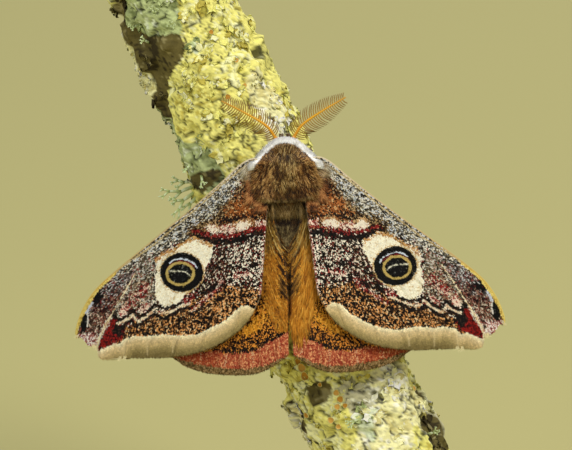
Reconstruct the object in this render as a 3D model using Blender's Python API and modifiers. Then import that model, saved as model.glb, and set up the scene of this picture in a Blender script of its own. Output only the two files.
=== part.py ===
"""A male emperor moth at rest on a short cut length of lichened branch, held by a plain display stand.

The moth is modelled in its own frame, in millimetres: +X to its right, +Y to its head, +Z out of its
back, with the origin at mid wing. The branch lies in the same frame, under the moth. An empty then leans
that frame back over the stand, whose base rests on the floor round the world's origin.
"""

import math
import random

import bmesh
import bpy
from mathutils import Matrix, Vector, noise

MM = 0.001

# The collection of the parts, and that of the cutters and the pieces that are joined to a part
PARTS_GROUP, TOOLS_GROUP = "emperor_moth", "cutters"

# The gap that touching pieces keep, and the thickness of the wings, in millimetres
GAP = 0.3
WING_THICK = 0.56

# Edges with a sharper turn than this stay sharp in the shading
SHARP_DEG = 40

# The display stand, in millimetres
BASE_RADIUS = 29.0
BASE_HEIGHT = 5.0
BASE_ROUNDING = 0.9
ROD_RADIUS, ROD_OVERLAP = 1.7, 4

# How the moth's frame stands over the base: its lean back from upright, its roll, and its place
LEAN_DEG = 15.0
ROLL_DEG = 1.7
FRAME_AT = (1.0, -12.5, 45.5)

# The branch runs under the moth, turned to the left of its body, with crusts and lobes of lichen
BRANCH_TURN_DEG = 22.5
BRANCH_DEPTH = 12.9
BRANCH_RADIUS = 6.9
BRANCH_LOW = -29.0
BRANCH_HIGH = 35.0
BARK_RELIEF = 0.6
LICHEN_RELIEF = 0.75
BARK_RINGS, BARK_SIDES = 27, 26
LOBE_COUNT, LOBE_LENGTH, LOBE_WIDTH, LOBE_THICK, LOBE_ROOT = 16, 2.4, 3.0, 0.6, -0.5
LOBE_SIDE_DEG, LOBE_SCATTER_DEG, LOBE_RISES, LOBE_SIZES = 72, 22, (0.2, 0.9), (0.8, 1.15)
SPRIG_ALONG, SPRIG_ANGLE_DEG, SPRIG_LENGTHS, SPRIG_ROOT = 10.0, -82.0, (3.4, 4.2, 4.0, 3.0), -0.6
SPRIG_WIDTH, SPRIG_THICK = 0.85, 0.6

# The length of branch that the legs hold, where no lobe grows within this angle from the top
LEGS_FROM, LEGS_TO, LEGS_SIDE_DEG = -4.0, 14.0, 80

# The body's ellipsoids: centre and radii
THORAX_AT, THORAX_RADII = (0.0, 7.6, 0.2), (3.0, 3.2, 2.8)
HEAD_AT, HEAD_RADII = (0.0, 11.2, -1.2), (1.5, 1.45, 1.35)
EYE_AT, EYE_RADIUS = (1.22, 11.6, -1.4), 0.72

# Locks of hair: the flat tapered shape that all share, as shares of their width and thickness along them
LOCK_WIDTHS = (0.85, 1.0, 0.75)
LOCK_THICKNESSES = (1.0, 1.0, 0.7)
LOCK_LIFTS, LOCK_SHARES = (-0.3, 0.3, 0.5, 0.36), (0.0, 0.3, 0.65, 1.0)
BACK_LOCK_WIDTH, COLLAR_LOCK_WIDTH, BACK_LOCK_THICK = 1.6, 1.75, 0.5
BACK_ROWS = [
    (9.9, 4, 1.4, 2.6), (8.9, 5, 1.9, 2.8), (7.8, 5, 2.0, 2.6), (6.9, 4, 1.7, 2.0), (6.1, 3, 1.0, 1.5),
]
WING_ROOT_ROWS = [(9.1, 3.0), (8.1, 3.2), (7.1, 2.9)]
COLLAR_COUNT, COLLAR_SPREAD_DEG = 10, 77.0
COLLAR_INNER, COLLAR_OUTER = (8.2, 2.0, 2.1), (8.55, 3.95, 3.95)
FLANK_ROWS = [(9.5, 106.0), (8.4, 116.0), (7.4, 104.0)]
BELLY_ROWS = (9.0, 7.7)
FACE_LOCKS = [(0.0, 42.0), (-20.0, 34.0), (20.0, 34.0), (0.0, 5.0)]
PALP_ROOT, PALP_STEPS = (0.36, 0.35, -1.05), ((0.0, 0.0), (0.45, -0.35), (0.9, -0.45), (1.3, -0.35))
TAIL_LOCK_COUNT, TAIL_LOCK_AT = 6, 0.93
TAIL_STEPS = ((0.0, -0.4), (0.5, -0.05), (1.1, -0.3), (1.6, -0.55))
FRINGE_ROOTS = [(2.0, 4.2), (1.75, 2.9), (1.6, 1.6), (1.4, 0.3), (1.1, -1.0)]
FRINGE_STEPS = ((0.0, -0.1), (0.35, 0.28), (0.7, 0.36), (1.0, 0.32))

# The abdomen's axis runs back from the thorax and droops
ABDOMEN_FRONT, ABDOMEN_TIP = 5.6, -7.4
ABDOMEN_HEIGHT, ABDOMEN_DROOP = -0.45, 0.9
ABDOMEN_RADIUS = 2.15
ABDOMEN_RINGS, ABDOMEN_GROOVE = 7, 0.09
ABDOMEN_TAPER_FROM, ABDOMEN_TAPER_POWER = 0.3, 2.2

# The roof that the wings make: its ridge and its fall, and how far the hindwing lies under it
ROOF_RIDGE = 3.2
ROOF_SLOPE, ROOF_ROUND, ROOF_CURVE, ROOF_REAR = 0.36, 2.0, 0.004, 0.06
HINDWING_UNDER = 1.3

# The forewing's edges, on the right side: front edge, outer edge from tip to rear corner, inner edge
FORE_COSTA = [
    (2.3, 9.5), (3.5, 10.2), (4.8, 9.7), (7.0, 7.8), (11.0, 4.55), (15.1, 1.45),
    (20.1, -2.4), (22.2, -4.3), (23.6, -6.3), (24.4, -8.2), (24.6, -9.3),
]
FORE_MARGIN = [
    (24.6, -9.3), (24.0, -9.2), (23.0, -10.2), (22.1, -10.4), (21.9, -11.2), (21.75, -11.6), (20.9, -11.8),
    (19.0, -11.65), (16.5, -11.6), (13.5, -11.55), (11.1, -11.2), (8.7, -10.45), (6.5, -9.2), (5.0, -7.9),
    (4.1, -6.65),
]
FORE_INNER = [(1.9, 6.8), (2.24, 4.6), (2.42, 2.5), (2.7, 0.0), (2.95, -2.5), (3.25, -4.8), (4.1, -6.65)]
FORE_ROOT_AT, FORE_ROOT_DROP, FORE_ROOT_REACH = (2.4, 8.3), 1.7, 3.0

# The fold along the forewing's first main vein: its place across the wing, and its share of the outer edge
FOLD_ACROSS, FOLD_SHARE = 0.12, 0.182
FOLD_DROP_ROOT, FOLD_DROP_TIP = 0.5, 1.5

# The hindwing's edges
HIND_COSTA = [
    (2.4, 7.4), (5.0, 5.4), (8.6, 1.4), (12.2, -4.4), (14.0, -8.6), (14.2, -10.6), (13.5, -11.65),
]
HIND_MARGIN = [(13.5, -11.65), (11.5, -12.85), (8.6, -13.55), (4.3, -13.6), (2.2, -12.8), (0.3, -11.5)]
HIND_INNER = [(1.6, 5.4), (1.5, 3.4), (1.0, 0.6), (0.45, -1.6), (0.3, -5.0), (0.25, -8.5), (0.3, -11.5)]
HIND_ROOT_AT, HIND_ROOT_DROP, HIND_ROOT_REACH = (2.4, 6.6), 1.5, 2.4

# The main veins: place across the wing from front to inner edge, and the share of its length where
# each starts
FORE_VEINS = [(FOLD_ACROSS, 0.1), (0.25, 0.45), (0.38, 0.5), (0.52, 0.4), (0.66, 0.2), (0.85, 0.1)]
HIND_VEINS = [(0.12, 0.1), (0.28, 0.4), (0.44, 0.45), (0.6, 0.4), (0.76, 0.2), (0.9, 0.1)]
VEIN_HEIGHT, VEIN_HALF_WIDTH, VEIN_HALF_SHARE = 0.16, 0.22, 0.026
FORE_COLUMNS, HIND_COLUMNS = (0.03, 0.06, 0.085), (0.06,)

# The right antenna's stem, root to tip, and the length of its side branches along it
ANTENNA_STEM = [
    (0.75, 12.0, -0.7), (1.1, 12.7, -0.2), (2.0, 13.95, 0.4), (4.15, 15.35, 0.7), (6.95, 16.9, 0.3),
]
STEM_RADIUS_ROOT, STEM_RADIUS_TIP = 0.33, 0.22
RAMUS_PAIRS = 9
RAMUS_LENGTHS = [0.95, 1.5, 1.75, 1.75, 1.5, 1.1, 0.6]
RAMUS_FROM, RAMUS_SPAN = 0.15, 0.81
RAMUS_WIDTH, RAMUS_THICK = 0.5, 0.36
RAMUS_LEAN_OUTER_DEG, RAMUS_LEAN_INNER_DEG = 74.0, 56.0

# The legs: hip, then the place of the foot over the branch, and how far forward its toe points
HIP_RADIUS, FEMUR_RADIUS, TIBIA_RADIUS, TARSUS_RADIUS, CLAW_RADIUS = 0.36, 0.5, 0.42, 0.27, 0.1
KNEE_OUT, KNEE_UP, TOE_OUT, CLAW_REACH = 0.9, 0.7, 0.55, 1.9
LEGS = {
    "leg_fore_r": ((0.9, 9.5, -1.8), (1.5, 10.4), 0.45),
    "leg_mid_r": ((1.5, 7.9, -2.0), (2.3, 7.0), 0.1),
    "leg_hind_r": ((1.3, 6.1, -1.8), (3.4, 3.2), -0.5),
    "leg_fore_l": ((-0.9, 9.5, -1.8), (-1.7, 10.6), 0.45),
    "leg_mid_l": ((-1.5, 7.9, -2.0), (-4.2, 7.9), 0.1),
    "leg_hind_l": ((-1.3, 6.1, -1.8), (-3.9, 3.4), -0.5),
}

UP = Vector((0.0, 0.0, 1.0))


def clear_scene():
    """Removes what the file holds, and makes the two empty collections."""
    for obj in list(bpy.data.objects):
        bpy.data.objects.remove(obj)
    for group in list(bpy.data.collections):
        bpy.data.collections.remove(group)
    for name in (PARTS_GROUP, TOOLS_GROUP):
        bpy.context.scene.collection.children.link(bpy.data.collections.new(name))


def add_object(name, data, look=None):
    """A new object, among the parts if it has a look of its own, and otherwise among the cutters."""
    obj = bpy.data.objects.new(name, data)
    bpy.data.collections[PARTS_GROUP if look else TOOLS_GROUP].objects.link(obj)
    if look:
        data.materials.append(look)
    return obj


def material(name, colour, roughness, metallic=0.0):
    made = bpy.data.materials.new(name)
    made.use_nodes = True
    shader = made.node_tree.nodes["Principled BSDF"]
    shader.inputs["Base Color"].default_value = (*colour, 1.0)
    shader.inputs["Roughness"].default_value = roughness
    shader.inputs["Metallic"].default_value = metallic
    return made


class Path:
    """A smooth curve through a few points, read by its share of length."""

    def __init__(self, points):
        self.points = [Vector(p) for p in points]
        self.knots = [0.0]
        for a, b in zip(self.points, self.points[1:]):
            self.knots.append(self.knots[-1] + (b - a).length)
        last = len(self.points) - 1
        self.slopes = []
        for i in range(last + 1):
            low, high = max(i - 1, 0), min(i + 1, last)
            rise, run = self.points[high] - self.points[low], self.knots[high] - self.knots[low]
            self.slopes.append(rise / run)

    def at(self, share):
        reach = min(max(share, 0.0), 1.0) * self.knots[-1]
        i = 0
        while i < len(self.knots) - 2 and reach > self.knots[i + 1]:
            i += 1
        span = self.knots[i + 1] - self.knots[i]
        t = (reach - self.knots[i]) / span
        a, b = self.points[i], self.points[i + 1]
        start, end = self.slopes[i] * span, self.slopes[i + 1] * span
        return (
            a * (2 * t**3 - 3 * t**2 + 1)
            + start * (t**3 - 2 * t**2 + t)
            + b * (3 * t**2 - 2 * t**3)
            + end * (t**3 - t**2)
        )


def smoothstep(low, high, value):
    t = min(max((value - low) / (high - low), 0.0), 1.0)
    return t * t * (3 - 2 * t)


def over(height, floor, softness=0.4):
    """The height, but no lower than the floor, with a smooth turn from one to the other."""
    return 0.5 * (height + floor + math.sqrt((height - floor) ** 2 + softness**2))


def read_list(values, share):
    """A value between the entries of an evenly spaced list."""
    place = min(max(share, 0.0), 1.0) * (len(values) - 1)
    low = min(int(place), len(values) - 2)
    return values[low] + (values[low + 1] - values[low]) * (place - low)


def mesh_object(name, points, faces, look=None):
    """An object from points in millimetres, its faces turned outwards."""
    mesh = bpy.data.meshes.new(name)
    mesh.from_pydata([Vector(p) * MM for p in points], [], faces)
    shape = bmesh.new()
    shape.from_mesh(mesh)
    bmesh.ops.recalc_face_normals(shape, faces=shape.faces)
    shape.to_mesh(mesh)
    shape.free()
    return add_object(name, mesh, look)


def loft(name, rings, look=None, tip=None):
    """A closed skin through rings of points, ending in a flat cap or in a tip."""
    count = len(rings[0])
    points = [p for ring in rings for p in ring]
    faces = [tuple(range(count))]
    for r in range(len(rings) - 1):
        for i in range(count):
            a, b = r * count + i, r * count + (i + 1) % count
            faces.append((a, b, b + count, a + count))
    last = (len(rings) - 1) * count
    if tip is None:
        faces.append(tuple(range(last, last + count)))
    else:
        points.append(tip)
        faces.extend((last + i, last + (i + 1) % count, len(points) - 1) for i in range(count))
    return mesh_object(name, points, faces, look)


def shell(name, top, bottom, look):
    """A closed skin between two grids of points, split into the same triangles on both faces."""
    rows, columns = len(top), len(top[0])
    half = rows * columns
    points = [p for grid in (top, bottom) for row in grid for p in row]
    faces = []
    for r in range(rows - 1):
        for c in range(columns - 1):
            a = r * columns + c
            b, d = a + 1, a + columns
            for x, y, z in ((a, b, d + 1), (a, d + 1, d)):
                faces.append((x, y, z))
                faces.append((half + x, half + z, half + y))
    rim = list(range(columns))
    rim += [r * columns + columns - 1 for r in range(1, rows)]
    rim += [(rows - 1) * columns + c for c in range(columns - 2, -1, -1)]
    rim += [r * columns for r in range(rows - 2, 0, -1)]
    for a, b in zip(rim, rim[1:] + rim[:1]):
        faces.append((a, half + a, half + b))
        faces.append((a, half + b, b))
    return mesh_object(name, points, faces, look)


def ellipsoid(name, centre, radii, segments, rings, grow=0.0, look=None):
    shape = bmesh.new()
    bmesh.ops.create_uvsphere(shape, u_segments=segments, v_segments=rings, radius=1.0)
    size = Matrix.Diagonal([r + grow for r in radii]).to_4x4()
    shape.transform(Matrix.Translation(Vector(centre) * MM) @ Matrix.Scale(MM, 4) @ size)
    mesh = bpy.data.meshes.new(name)
    shape.to_mesh(mesh)
    shape.free()
    return add_object(name, mesh, look)


def lock(spine, width, thick, out):
    """A flat tapered lock that bends along its spine, its flat side turned out."""
    rings = []
    aside = (spine[-1] - spine[0]).cross(out).normalized()
    for i, place in enumerate(spine[:-1]):
        ahead = spine[i + 1] - spine[max(i - 1, 0)]
        up = aside.cross(ahead).normalized()
        half, rise = aside * width * LOCK_WIDTHS[i] / 2, up * thick * LOCK_THICKNESSES[i] / 2
        rings.append([place + half, place + rise, place - half, place - rise])
    return loft("lock", rings, tip=spine[-1])


def tube(name, points, radii, look):
    """A closed tube along points in millimetres, thick as its radii say, from a bevelled curve."""
    data = bpy.data.curves.new(name, "CURVE")
    data.dimensions = "3D"
    data.bevel_depth = MM
    data.bevel_resolution = 1
    data.use_fill_caps = True
    spline = data.splines.new("POLY")
    spline.points.add(len(points) - 1)
    for point, place, radius in zip(spline.points, points, radii):
        point.co = (*(Vector(place) * MM), 1.0)
        point.radius = radius
    curve = add_object(name + "_curve", data)
    bpy.context.view_layer.update()
    graph = bpy.context.evaluated_depsgraph_get()
    mesh = bpy.data.meshes.new_from_object(curve.evaluated_get(graph))
    shape = bmesh.new()
    shape.from_mesh(mesh)
    bmesh.ops.remove_doubles(shape, verts=shape.verts, dist=1e-7)
    bmesh.ops.recalc_face_normals(shape, faces=shape.faces)
    shape.to_mesh(mesh)
    shape.free()
    mesh.name = name
    mesh.materials.clear()
    obj = add_object(name, mesh, look)
    obj.matrix_world = curve.matrix_world
    bpy.data.objects.remove(curve)
    return obj


def apply_modifiers(obj):
    bpy.context.view_layer.update()
    graph = bpy.context.evaluated_depsgraph_get()
    mesh = bpy.data.meshes.new_from_object(obj.evaluated_get(graph))
    obj.modifiers.clear()
    obj.data = mesh


def keep_largest(obj):
    """Drops every closed surface of the mesh but its largest."""
    shape = bmesh.new()
    shape.from_mesh(obj.data)
    left, islands = set(shape.verts), []
    while left:
        front = [left.pop()]
        island = list(front)
        while front:
            for edge in front.pop().link_edges:
                for vert in edge.verts:
                    if vert in left:
                        left.remove(vert)
                        front.append(vert)
                        island.append(vert)
        islands.append(island)

    def spread(island):
        axes = [[vert.co[axis] for vert in island] for axis in range(3)]
        return math.prod(max(places) - min(places) for places in axes)

    islands.sort(key=spread)
    loose = [vert for island in islands[:-1] for vert in island]
    bmesh.ops.delete(shape, geom=loose, context="VERTS")
    shape.to_mesh(obj.data)
    shape.free()


def fuse(obj, pieces):
    """Joins the pieces to the object by one union, and keeps its largest closed surface."""
    group = bpy.data.collections.new(obj.name + "_pieces")
    bpy.context.scene.collection.children.link(group)
    for piece in pieces:
        bpy.data.collections[TOOLS_GROUP].objects.unlink(piece)
        group.objects.link(piece)
    join = obj.modifiers.new("join", "BOOLEAN")
    join.operation = "UNION"
    join.operand_type = "COLLECTION"
    join.collection = group
    join.solver = "EXACT"
    apply_modifiers(obj)
    for piece in pieces:
        bpy.data.objects.remove(piece)
    bpy.data.collections.remove(group)
    keep_largest(obj)


def cut(obj, cutter):
    """Takes the cutter's shape out of the object, and keeps the largest closed surface."""
    difference = obj.modifiers.new("cut", "BOOLEAN")
    difference.operation = "DIFFERENCE"
    difference.object = cutter
    difference.solver = "EXACT"
    apply_modifiers(obj)
    keep_largest(obj)


def branch_axes():
    """The branch's direction up its length, and the direction across it, to the moth's right."""
    turn = math.radians(BRANCH_TURN_DEG)
    return Vector((-math.sin(turn), math.cos(turn), 0.0)), Vector((math.cos(turn), math.sin(turn), 0.0))


def lichen_crust(along, angle):
    """The height of the crust of lichen over the bark, in patches with steep rims."""
    spot = Vector((math.cos(angle) * BRANCH_RADIUS, math.sin(angle) * BRANCH_RADIUS, along)) * 0.23
    patch = noise.noise(spot) + 0.5 * noise.noise(spot * 2.1 + Vector((9.0, 2.0, 5.0)))
    return LICHEN_RELIEF * smoothstep(-0.1, 0.08, patch) * (1 + 0.4 * noise.noise(spot * 5))


def bark_radius(along, angle):
    """The branch's radius at a place along it and an angle from its top, with the bark's humps."""
    spot = Vector((math.cos(angle) * 2.2, math.sin(angle) * 2.2, along * 0.28))
    hump = noise.noise(spot) * BARK_RELIEF + noise.noise(spot * 2.3) * BARK_RELIEF * 0.45
    taper = 1.0 - 0.0016 * (along - BRANCH_LOW)
    return BRANCH_RADIUS * taper + hump + lichen_crust(along, angle)


def on_bark(along, angle, lift=0.0):
    """A point over the branch's surface."""
    up_branch, across = branch_axes()
    centre = up_branch * along - UP * BRANCH_DEPTH
    out = UP * math.cos(angle) + across * math.sin(angle)
    return centre + out * (bark_radius(along, angle) + lift)


def bark_under(x, y, lift=0.0):
    """The point over the branch's surface that lies under a place of the moth's frame."""
    up_branch, across = branch_axes()
    place = Vector((x, y, 0.0))
    along, aside = place.dot(up_branch), place.dot(across)
    angle = math.asin(max(-0.95, min(0.95, aside / BRANCH_RADIUS)))
    return on_bark(along, angle, lift)


def make_bark(name, look=None, grow=0.0):
    """The branch with its crusts of lichen, or a cutter of its shape that is larger all round."""
    skin = []
    for r in range(BARK_RINGS):
        along = BRANCH_LOW - grow + (BRANCH_HIGH - BRANCH_LOW + 2 * grow) * r / (BARK_RINGS - 1)
        skin.append([on_bark(along, 2 * math.pi * s / BARK_SIDES, grow) for s in range(BARK_SIDES)])
    return loft(name, skin, look)


def lichen_lobe(along, angle, chance):
    """A lobe of lichen that curls up off the bark."""
    up_branch, across = branch_axes()
    foot = on_bark(along, angle, LOBE_ROOT)
    out = UP * math.cos(angle) + across * math.sin(angle)
    rise = UP * chance.uniform(*LOBE_RISES)
    lean_way = (up_branch * chance.uniform(-1, 1) + rise).normalized()
    size = chance.uniform(*LOBE_SIZES)
    spine = [
        foot,
        foot + out * 0.75 * size + lean_way * 0.4,
        foot + out * 1.1 * size + lean_way * 1.1 * size,
        foot + out * 1.15 * size + lean_way * LOBE_LENGTH * size,
    ]
    return lock(spine, LOBE_WIDTH * size, LOBE_THICK, out)


def sprig_stem(number, length):
    """One of the stems of the bushy lichen, which fan out at the branch's left side."""
    up_branch, across = branch_axes()
    foot = on_bark(SPRIG_ALONG + 0.5 * number, math.radians(SPRIG_ANGLE_DEG), SPRIG_ROOT)
    way = (up_branch * (number - 1.6) * 0.42 - across + UP * (0.25 - 0.15 * (number % 2))).normalized()
    bend = UP * 0.12 * length + up_branch * (0.1 if number % 2 else -0.1) * length
    spine = [foot]
    for share, bent in ((0.35, 0.0), (0.7, 0.6), (1.0, 1.0)):
        spine.append(foot + way * length * share + bend * bent)
    return lock(spine, SPRIG_WIDTH, SPRIG_THICK, up_branch)


def make_branch(look):
    """The bark, with lobes of lichen that curl off it and one small bushy lichen at its left side."""
    branch = make_bark("perch_branch", look)
    chance = random.Random(7)
    lobes = []
    for i in range(LOBE_COUNT):
        along = BRANCH_LOW + 3 + (BRANCH_HIGH - BRANCH_LOW - 6) * (i + 0.5) / LOBE_COUNT
        side_deg = LOBE_SIDE_DEG if i % 2 else -LOBE_SIDE_DEG
        angle = math.radians(side_deg + chance.uniform(-LOBE_SCATTER_DEG, LOBE_SCATTER_DEG))
        if LEGS_FROM < along < LEGS_TO and abs(math.degrees(angle)) < LEGS_SIDE_DEG:
            angle *= 1.5
        lobes.append(lichen_lobe(along, angle, chance))
    for number, length in enumerate(SPRIG_LENGTHS):
        lobes.append(sprig_stem(number, length))
    fuse(branch, lobes)
    return branch


def abdomen_axis(y):
    """The height of the abdomen's axis at a place along it."""
    share = (ABDOMEN_FRONT - y) / (ABDOMEN_FRONT - ABDOMEN_TIP)
    return ABDOMEN_HEIGHT - ABDOMEN_DROOP * share


def abdomen_radius(y, ringed=True):
    share = min(max((ABDOMEN_FRONT - y) / (ABDOMEN_FRONT - ABDOMEN_TIP), 0.0), 1.0)
    taper = max(share - ABDOMEN_TAPER_FROM, 0.0) / (1.0 - ABDOMEN_TAPER_FROM)
    swell = math.sqrt(max(1.0 - taper**ABDOMEN_TAPER_POWER, 0.0))
    groove = abs(math.sin(math.pi * share * ABDOMEN_RINGS)) ** 0.6 if ringed else 1.0
    return ABDOMEN_RADIUS * swell * (0.94 + ABDOMEN_GROOVE * groove * swell)


def make_abdomen(look):
    """The ringed abdomen, which tapers to its tip."""
    rings, sides = 25, 14
    skin = []
    for r in range(rings):
        y = ABDOMEN_FRONT + 0.8 - (ABDOMEN_FRONT + 0.8 - ABDOMEN_TIP - 0.04) * r / (rings - 1)
        radius = abdomen_radius(y)
        centre = Vector((0.0, y, abdomen_axis(y)))
        turns = [2 * math.pi * s / sides for s in range(sides)]
        skin.append([centre + radius * Vector((math.sin(t), 0.0, math.cos(t))) for t in turns])
    return loft("abdomen", skin, look)


def roof(x, y):
    """The height of the roof that the wings make over the moth's back."""
    fall = ROOF_SLOPE * (math.sqrt(x * x + ROOF_ROUND**2) - ROOF_ROUND) + ROOF_CURVE * x * x
    return ROOF_RIDGE - fall + ROOF_REAR * y


def root_drop(x, y, centre, drop, reach):
    """How far a wing dips at its root."""
    return drop * math.exp(-((x - centre[0]) ** 2 + (y - centre[1]) ** 2) / reach**2)


def hindwing_height(x, y):
    """The middle of the hindwing's thickness, which keeps clear of the abdomen."""
    height = roof(x, y) - HINDWING_UNDER - root_drop(x, y, HIND_ROOT_AT, HIND_ROOT_DROP, HIND_ROOT_REACH)
    radius = abdomen_radius(y, ringed=False) if ABDOMEN_TIP < y < ABDOMEN_FRONT else 0.0
    if abs(x) >= radius:
        return height
    back = abdomen_axis(y) + math.sqrt(radius * radius - x * x)
    return over(height, back + GAP + WING_THICK / 2 + 0.1)


def forewing_height(x, y):
    """The middle of the forewing's thickness, without its fold."""
    return roof(x, y) - root_drop(x, y, FORE_ROOT_AT, FORE_ROOT_DROP, FORE_ROOT_REACH)


class Wing:
    """A wing's plan, stretched between its root, its front, inner and outer edges."""

    def __init__(self, costa, margin, inner, veins, height, fold=(0.5, 0.5, 0.0, 0.0)):
        self.costa, self.margin, self.inner = Path(costa), Path(margin), Path(inner)
        self.veins, self.height = veins, height
        self.fold_across, self.fold_share, self.fold_root, self.fold_tip = fold

    def margin_share(self, u):
        """The share of the outer edge that a place across the wing runs to."""
        if u < self.fold_across:
            return u / self.fold_across * self.fold_share
        return self.fold_share + (u - self.fold_across) / (1 - self.fold_across) * (1 - self.fold_share)

    def plan(self, u, v):
        """The place in plan at u from the front to the inner edge, and v from the root to the rim."""
        front, rear = self.costa, self.inner
        root = front.at(0).lerp(rear.at(0), u)
        rim = self.margin.at(self.margin_share(u))
        sides = front.at(v).lerp(rear.at(v), u)
        corners = root.lerp(front.at(1).lerp(rear.at(1), u), v)
        return root.lerp(rim, v) + sides - corners

    def point(self, u, v):
        place = self.plan(u, v)
        fold = self.fold_root + (self.fold_tip - self.fold_root) * smoothstep(0.15, 0.9, v)
        drop = fold * max(0.0, 1 - u / self.fold_across) * smoothstep(0.0, 0.2, v)
        return Vector((place.x, place.y, self.height(place.x, place.y) - drop))

    def columns(self, v, extra):
        """Places across the wing at one share of its length: each vein's crest and feet, and between."""
        chord = (self.costa.at(v) - self.inner.at(v)).length
        foot = min(VEIN_HALF_WIDTH / chord, VEIN_HALF_SHARE)
        places = [(0.0, None), (1.0, None)]
        places += [(u, None) for u in extra]
        for i, (u, _) in enumerate(self.veins):
            places += [(u - foot, None), (u, i), (u + foot, None)]
            after = self.veins[i + 1][0] if i + 1 < len(self.veins) else 1.0
            places.append(((u + after) / 2, None))
        return sorted(places, key=lambda place: place[0])

    def ridge(self, vein, v):
        if vein is None:
            return 0.0
        start = self.veins[vein][1]
        return VEIN_HEIGHT * smoothstep(start, start + 0.12, v)


def make_wing(name, wing, side, rows, extra, look):
    """One wing as a thin closed shell, with its main veins raised on both faces."""
    top, bottom = [], []
    for r in range(rows):
        v = r / (rows - 1)
        upper, lower = [], []
        for u, vein in wing.columns(v, extra):
            point = wing.point(u, v)
            ridge = wing.ridge(vein, v)
            half = WING_THICK / 2
            upper.append((side * point.x, point.y, point.z + half + ridge))
            lower.append((side * point.x, point.y, point.z - half - ridge * 0.6))
        top.append(upper)
        bottom.append(lower)
    return shell(name, top, bottom, look)


def antenna_branch(stem, share, number, side):
    """A side branch of the feather, which leans to the tip and sags a little."""
    ahead = (stem.at(share + 0.02) - stem.at(share - 0.02)).normalized()
    outer = ahead.cross(UP).normalized() * side
    way, lean_deg = ((outer, RAMUS_LEAN_OUTER_DEG), (-outer, RAMUS_LEAN_INNER_DEG))[number % 2]
    turn = math.radians(lean_deg)
    reach = read_list(RAMUS_LENGTHS, share)
    ray = ahead * math.cos(turn) + way * math.sin(turn)
    foot = stem.at(share) - ray * 0.08
    spine = [foot]
    for part, sag in ((0.5, 0.0), (0.82, 0.5), (1.0, 1.0)):
        spine.append(foot + ray * reach * part - UP * 0.12 * reach * sag)
    return lock(spine, RAMUS_WIDTH, RAMUS_THICK, UP)


def make_antenna(name, side, look):
    """The stem with its side branches, which are longest at its middle, as in a feather."""
    stem = Path([(side * x, y, z) for x, y, z in ANTENNA_STEM])
    steps = 10
    points = [stem.at(i / steps) for i in range(steps + 1)]
    radii = [read_list((STEM_RADIUS_ROOT, STEM_RADIUS_TIP), i / steps) for i in range(steps + 1)]
    antenna = tube(name, points, radii, look)
    rami = []
    for i in range(2 * RAMUS_PAIRS):
        share = RAMUS_FROM + RAMUS_SPAN * i / (2 * RAMUS_PAIRS - 1)
        rami.append(antenna_branch(stem, share, i, side))
    fuse(antenna, rami)
    return antenna


def make_leg(name, hip, foot, ahead, look):
    """A leg from its hip on the thorax over a bent knee to a foot that lies on the bark."""
    hip = Vector(hip)
    side = 1 if hip.x > 0 else -1
    lift = GAP + TARSUS_RADIUS
    away = Vector((side * TOE_OUT, ahead, 0.0))
    ankle = bark_under(foot[0], foot[1], lift + 0.1)
    toe = bark_under(foot[0] + away.x, foot[1] + away.y, lift)
    claw = bark_under(foot[0] + away.x * CLAW_REACH, foot[1] + away.y * CLAW_REACH, GAP + CLAW_RADIUS)
    knee = hip.lerp(ankle, 0.5) + Vector((side * KNEE_OUT, (ankle.y - hip.y) * 0.15, KNEE_UP))
    thigh = hip.lerp(knee, 0.5) + UP * 0.1
    route = Path([hip, thigh, knee, knee.lerp(ankle, 0.55), ankle, toe, claw])
    stages = [
        HIP_RADIUS, FEMUR_RADIUS, FEMUR_RADIUS, TIBIA_RADIUS, TIBIA_RADIUS, TARSUS_RADIUS, TARSUS_RADIUS,
        CLAW_RADIUS,
    ]
    steps = 14
    points = [route.at(i / steps) for i in range(steps + 1)]
    radii = [read_list(stages, i / steps) for i in range(steps + 1)]
    return tube(name, points, radii, look)


def turned_rod(name, radius, height, segments, look):
    """An upright round bar, its middle at the origin."""
    shape = bmesh.new()
    bmesh.ops.create_cone(
        shape, cap_ends=True, segments=segments, radius1=radius * MM, radius2=radius * MM, depth=height,
    )
    mesh = bpy.data.meshes.new(name)
    shape.to_mesh(mesh)
    shape.free()
    return add_object(name, mesh, look)


def make_base(look):
    """The flat round base, with its edge eased."""
    base = turned_rod("stand_base", BASE_RADIUS, BASE_HEIGHT * MM, 48, look)
    base.location = (0.0, 0.0, BASE_HEIGHT * MM / 2)
    rounding = base.modifiers.new("eased edge", "BEVEL")
    rounding.width = BASE_ROUNDING * MM
    rounding.segments = 2
    rounding.limit_method = "ANGLE"


def make_rod(frame, look):
    """A plain upright rod from the base to the branch's lower end, cut face to face with it."""
    low_end = frame.matrix_world @ (on_bark(BRANCH_LOW, 0.0, -bark_radius(BRANCH_LOW, 0.0)) * MM)
    bottom = (BASE_HEIGHT + GAP) * MM
    top = low_end.z + ROD_OVERLAP * MM
    rod = turned_rod("stand_rod", ROD_RADIUS, top - bottom, 24, look)
    rod.location = (low_end.x, low_end.y, (top + bottom) / 2)
    cutter = make_bark("rod_cutter", grow=GAP)
    lean(cutter, frame)
    cut(rod, cutter)
    bpy.data.objects.remove(cutter)


def lean(obj, frame):
    """Hands an object that was made in the moth's frame to the empty that leans it."""
    obj.parent = frame
    bpy.context.view_layer.update()


def make_frame():
    """The empty that carries the moth's frame, leant back over the base."""
    frame = bpy.data.objects.new("moth_frame", None)
    frame.empty_display_size = 0.01
    frame.rotation_mode = "ZYX"
    frame.rotation_euler = (math.radians(90 - LEAN_DEG), 0.0, math.radians(ROLL_DEG))
    frame.location = Vector(FRAME_AT) * MM
    bpy.data.collections[PARTS_GROUP].objects.link(frame)
    bpy.context.view_layer.update()
    return frame


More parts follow.
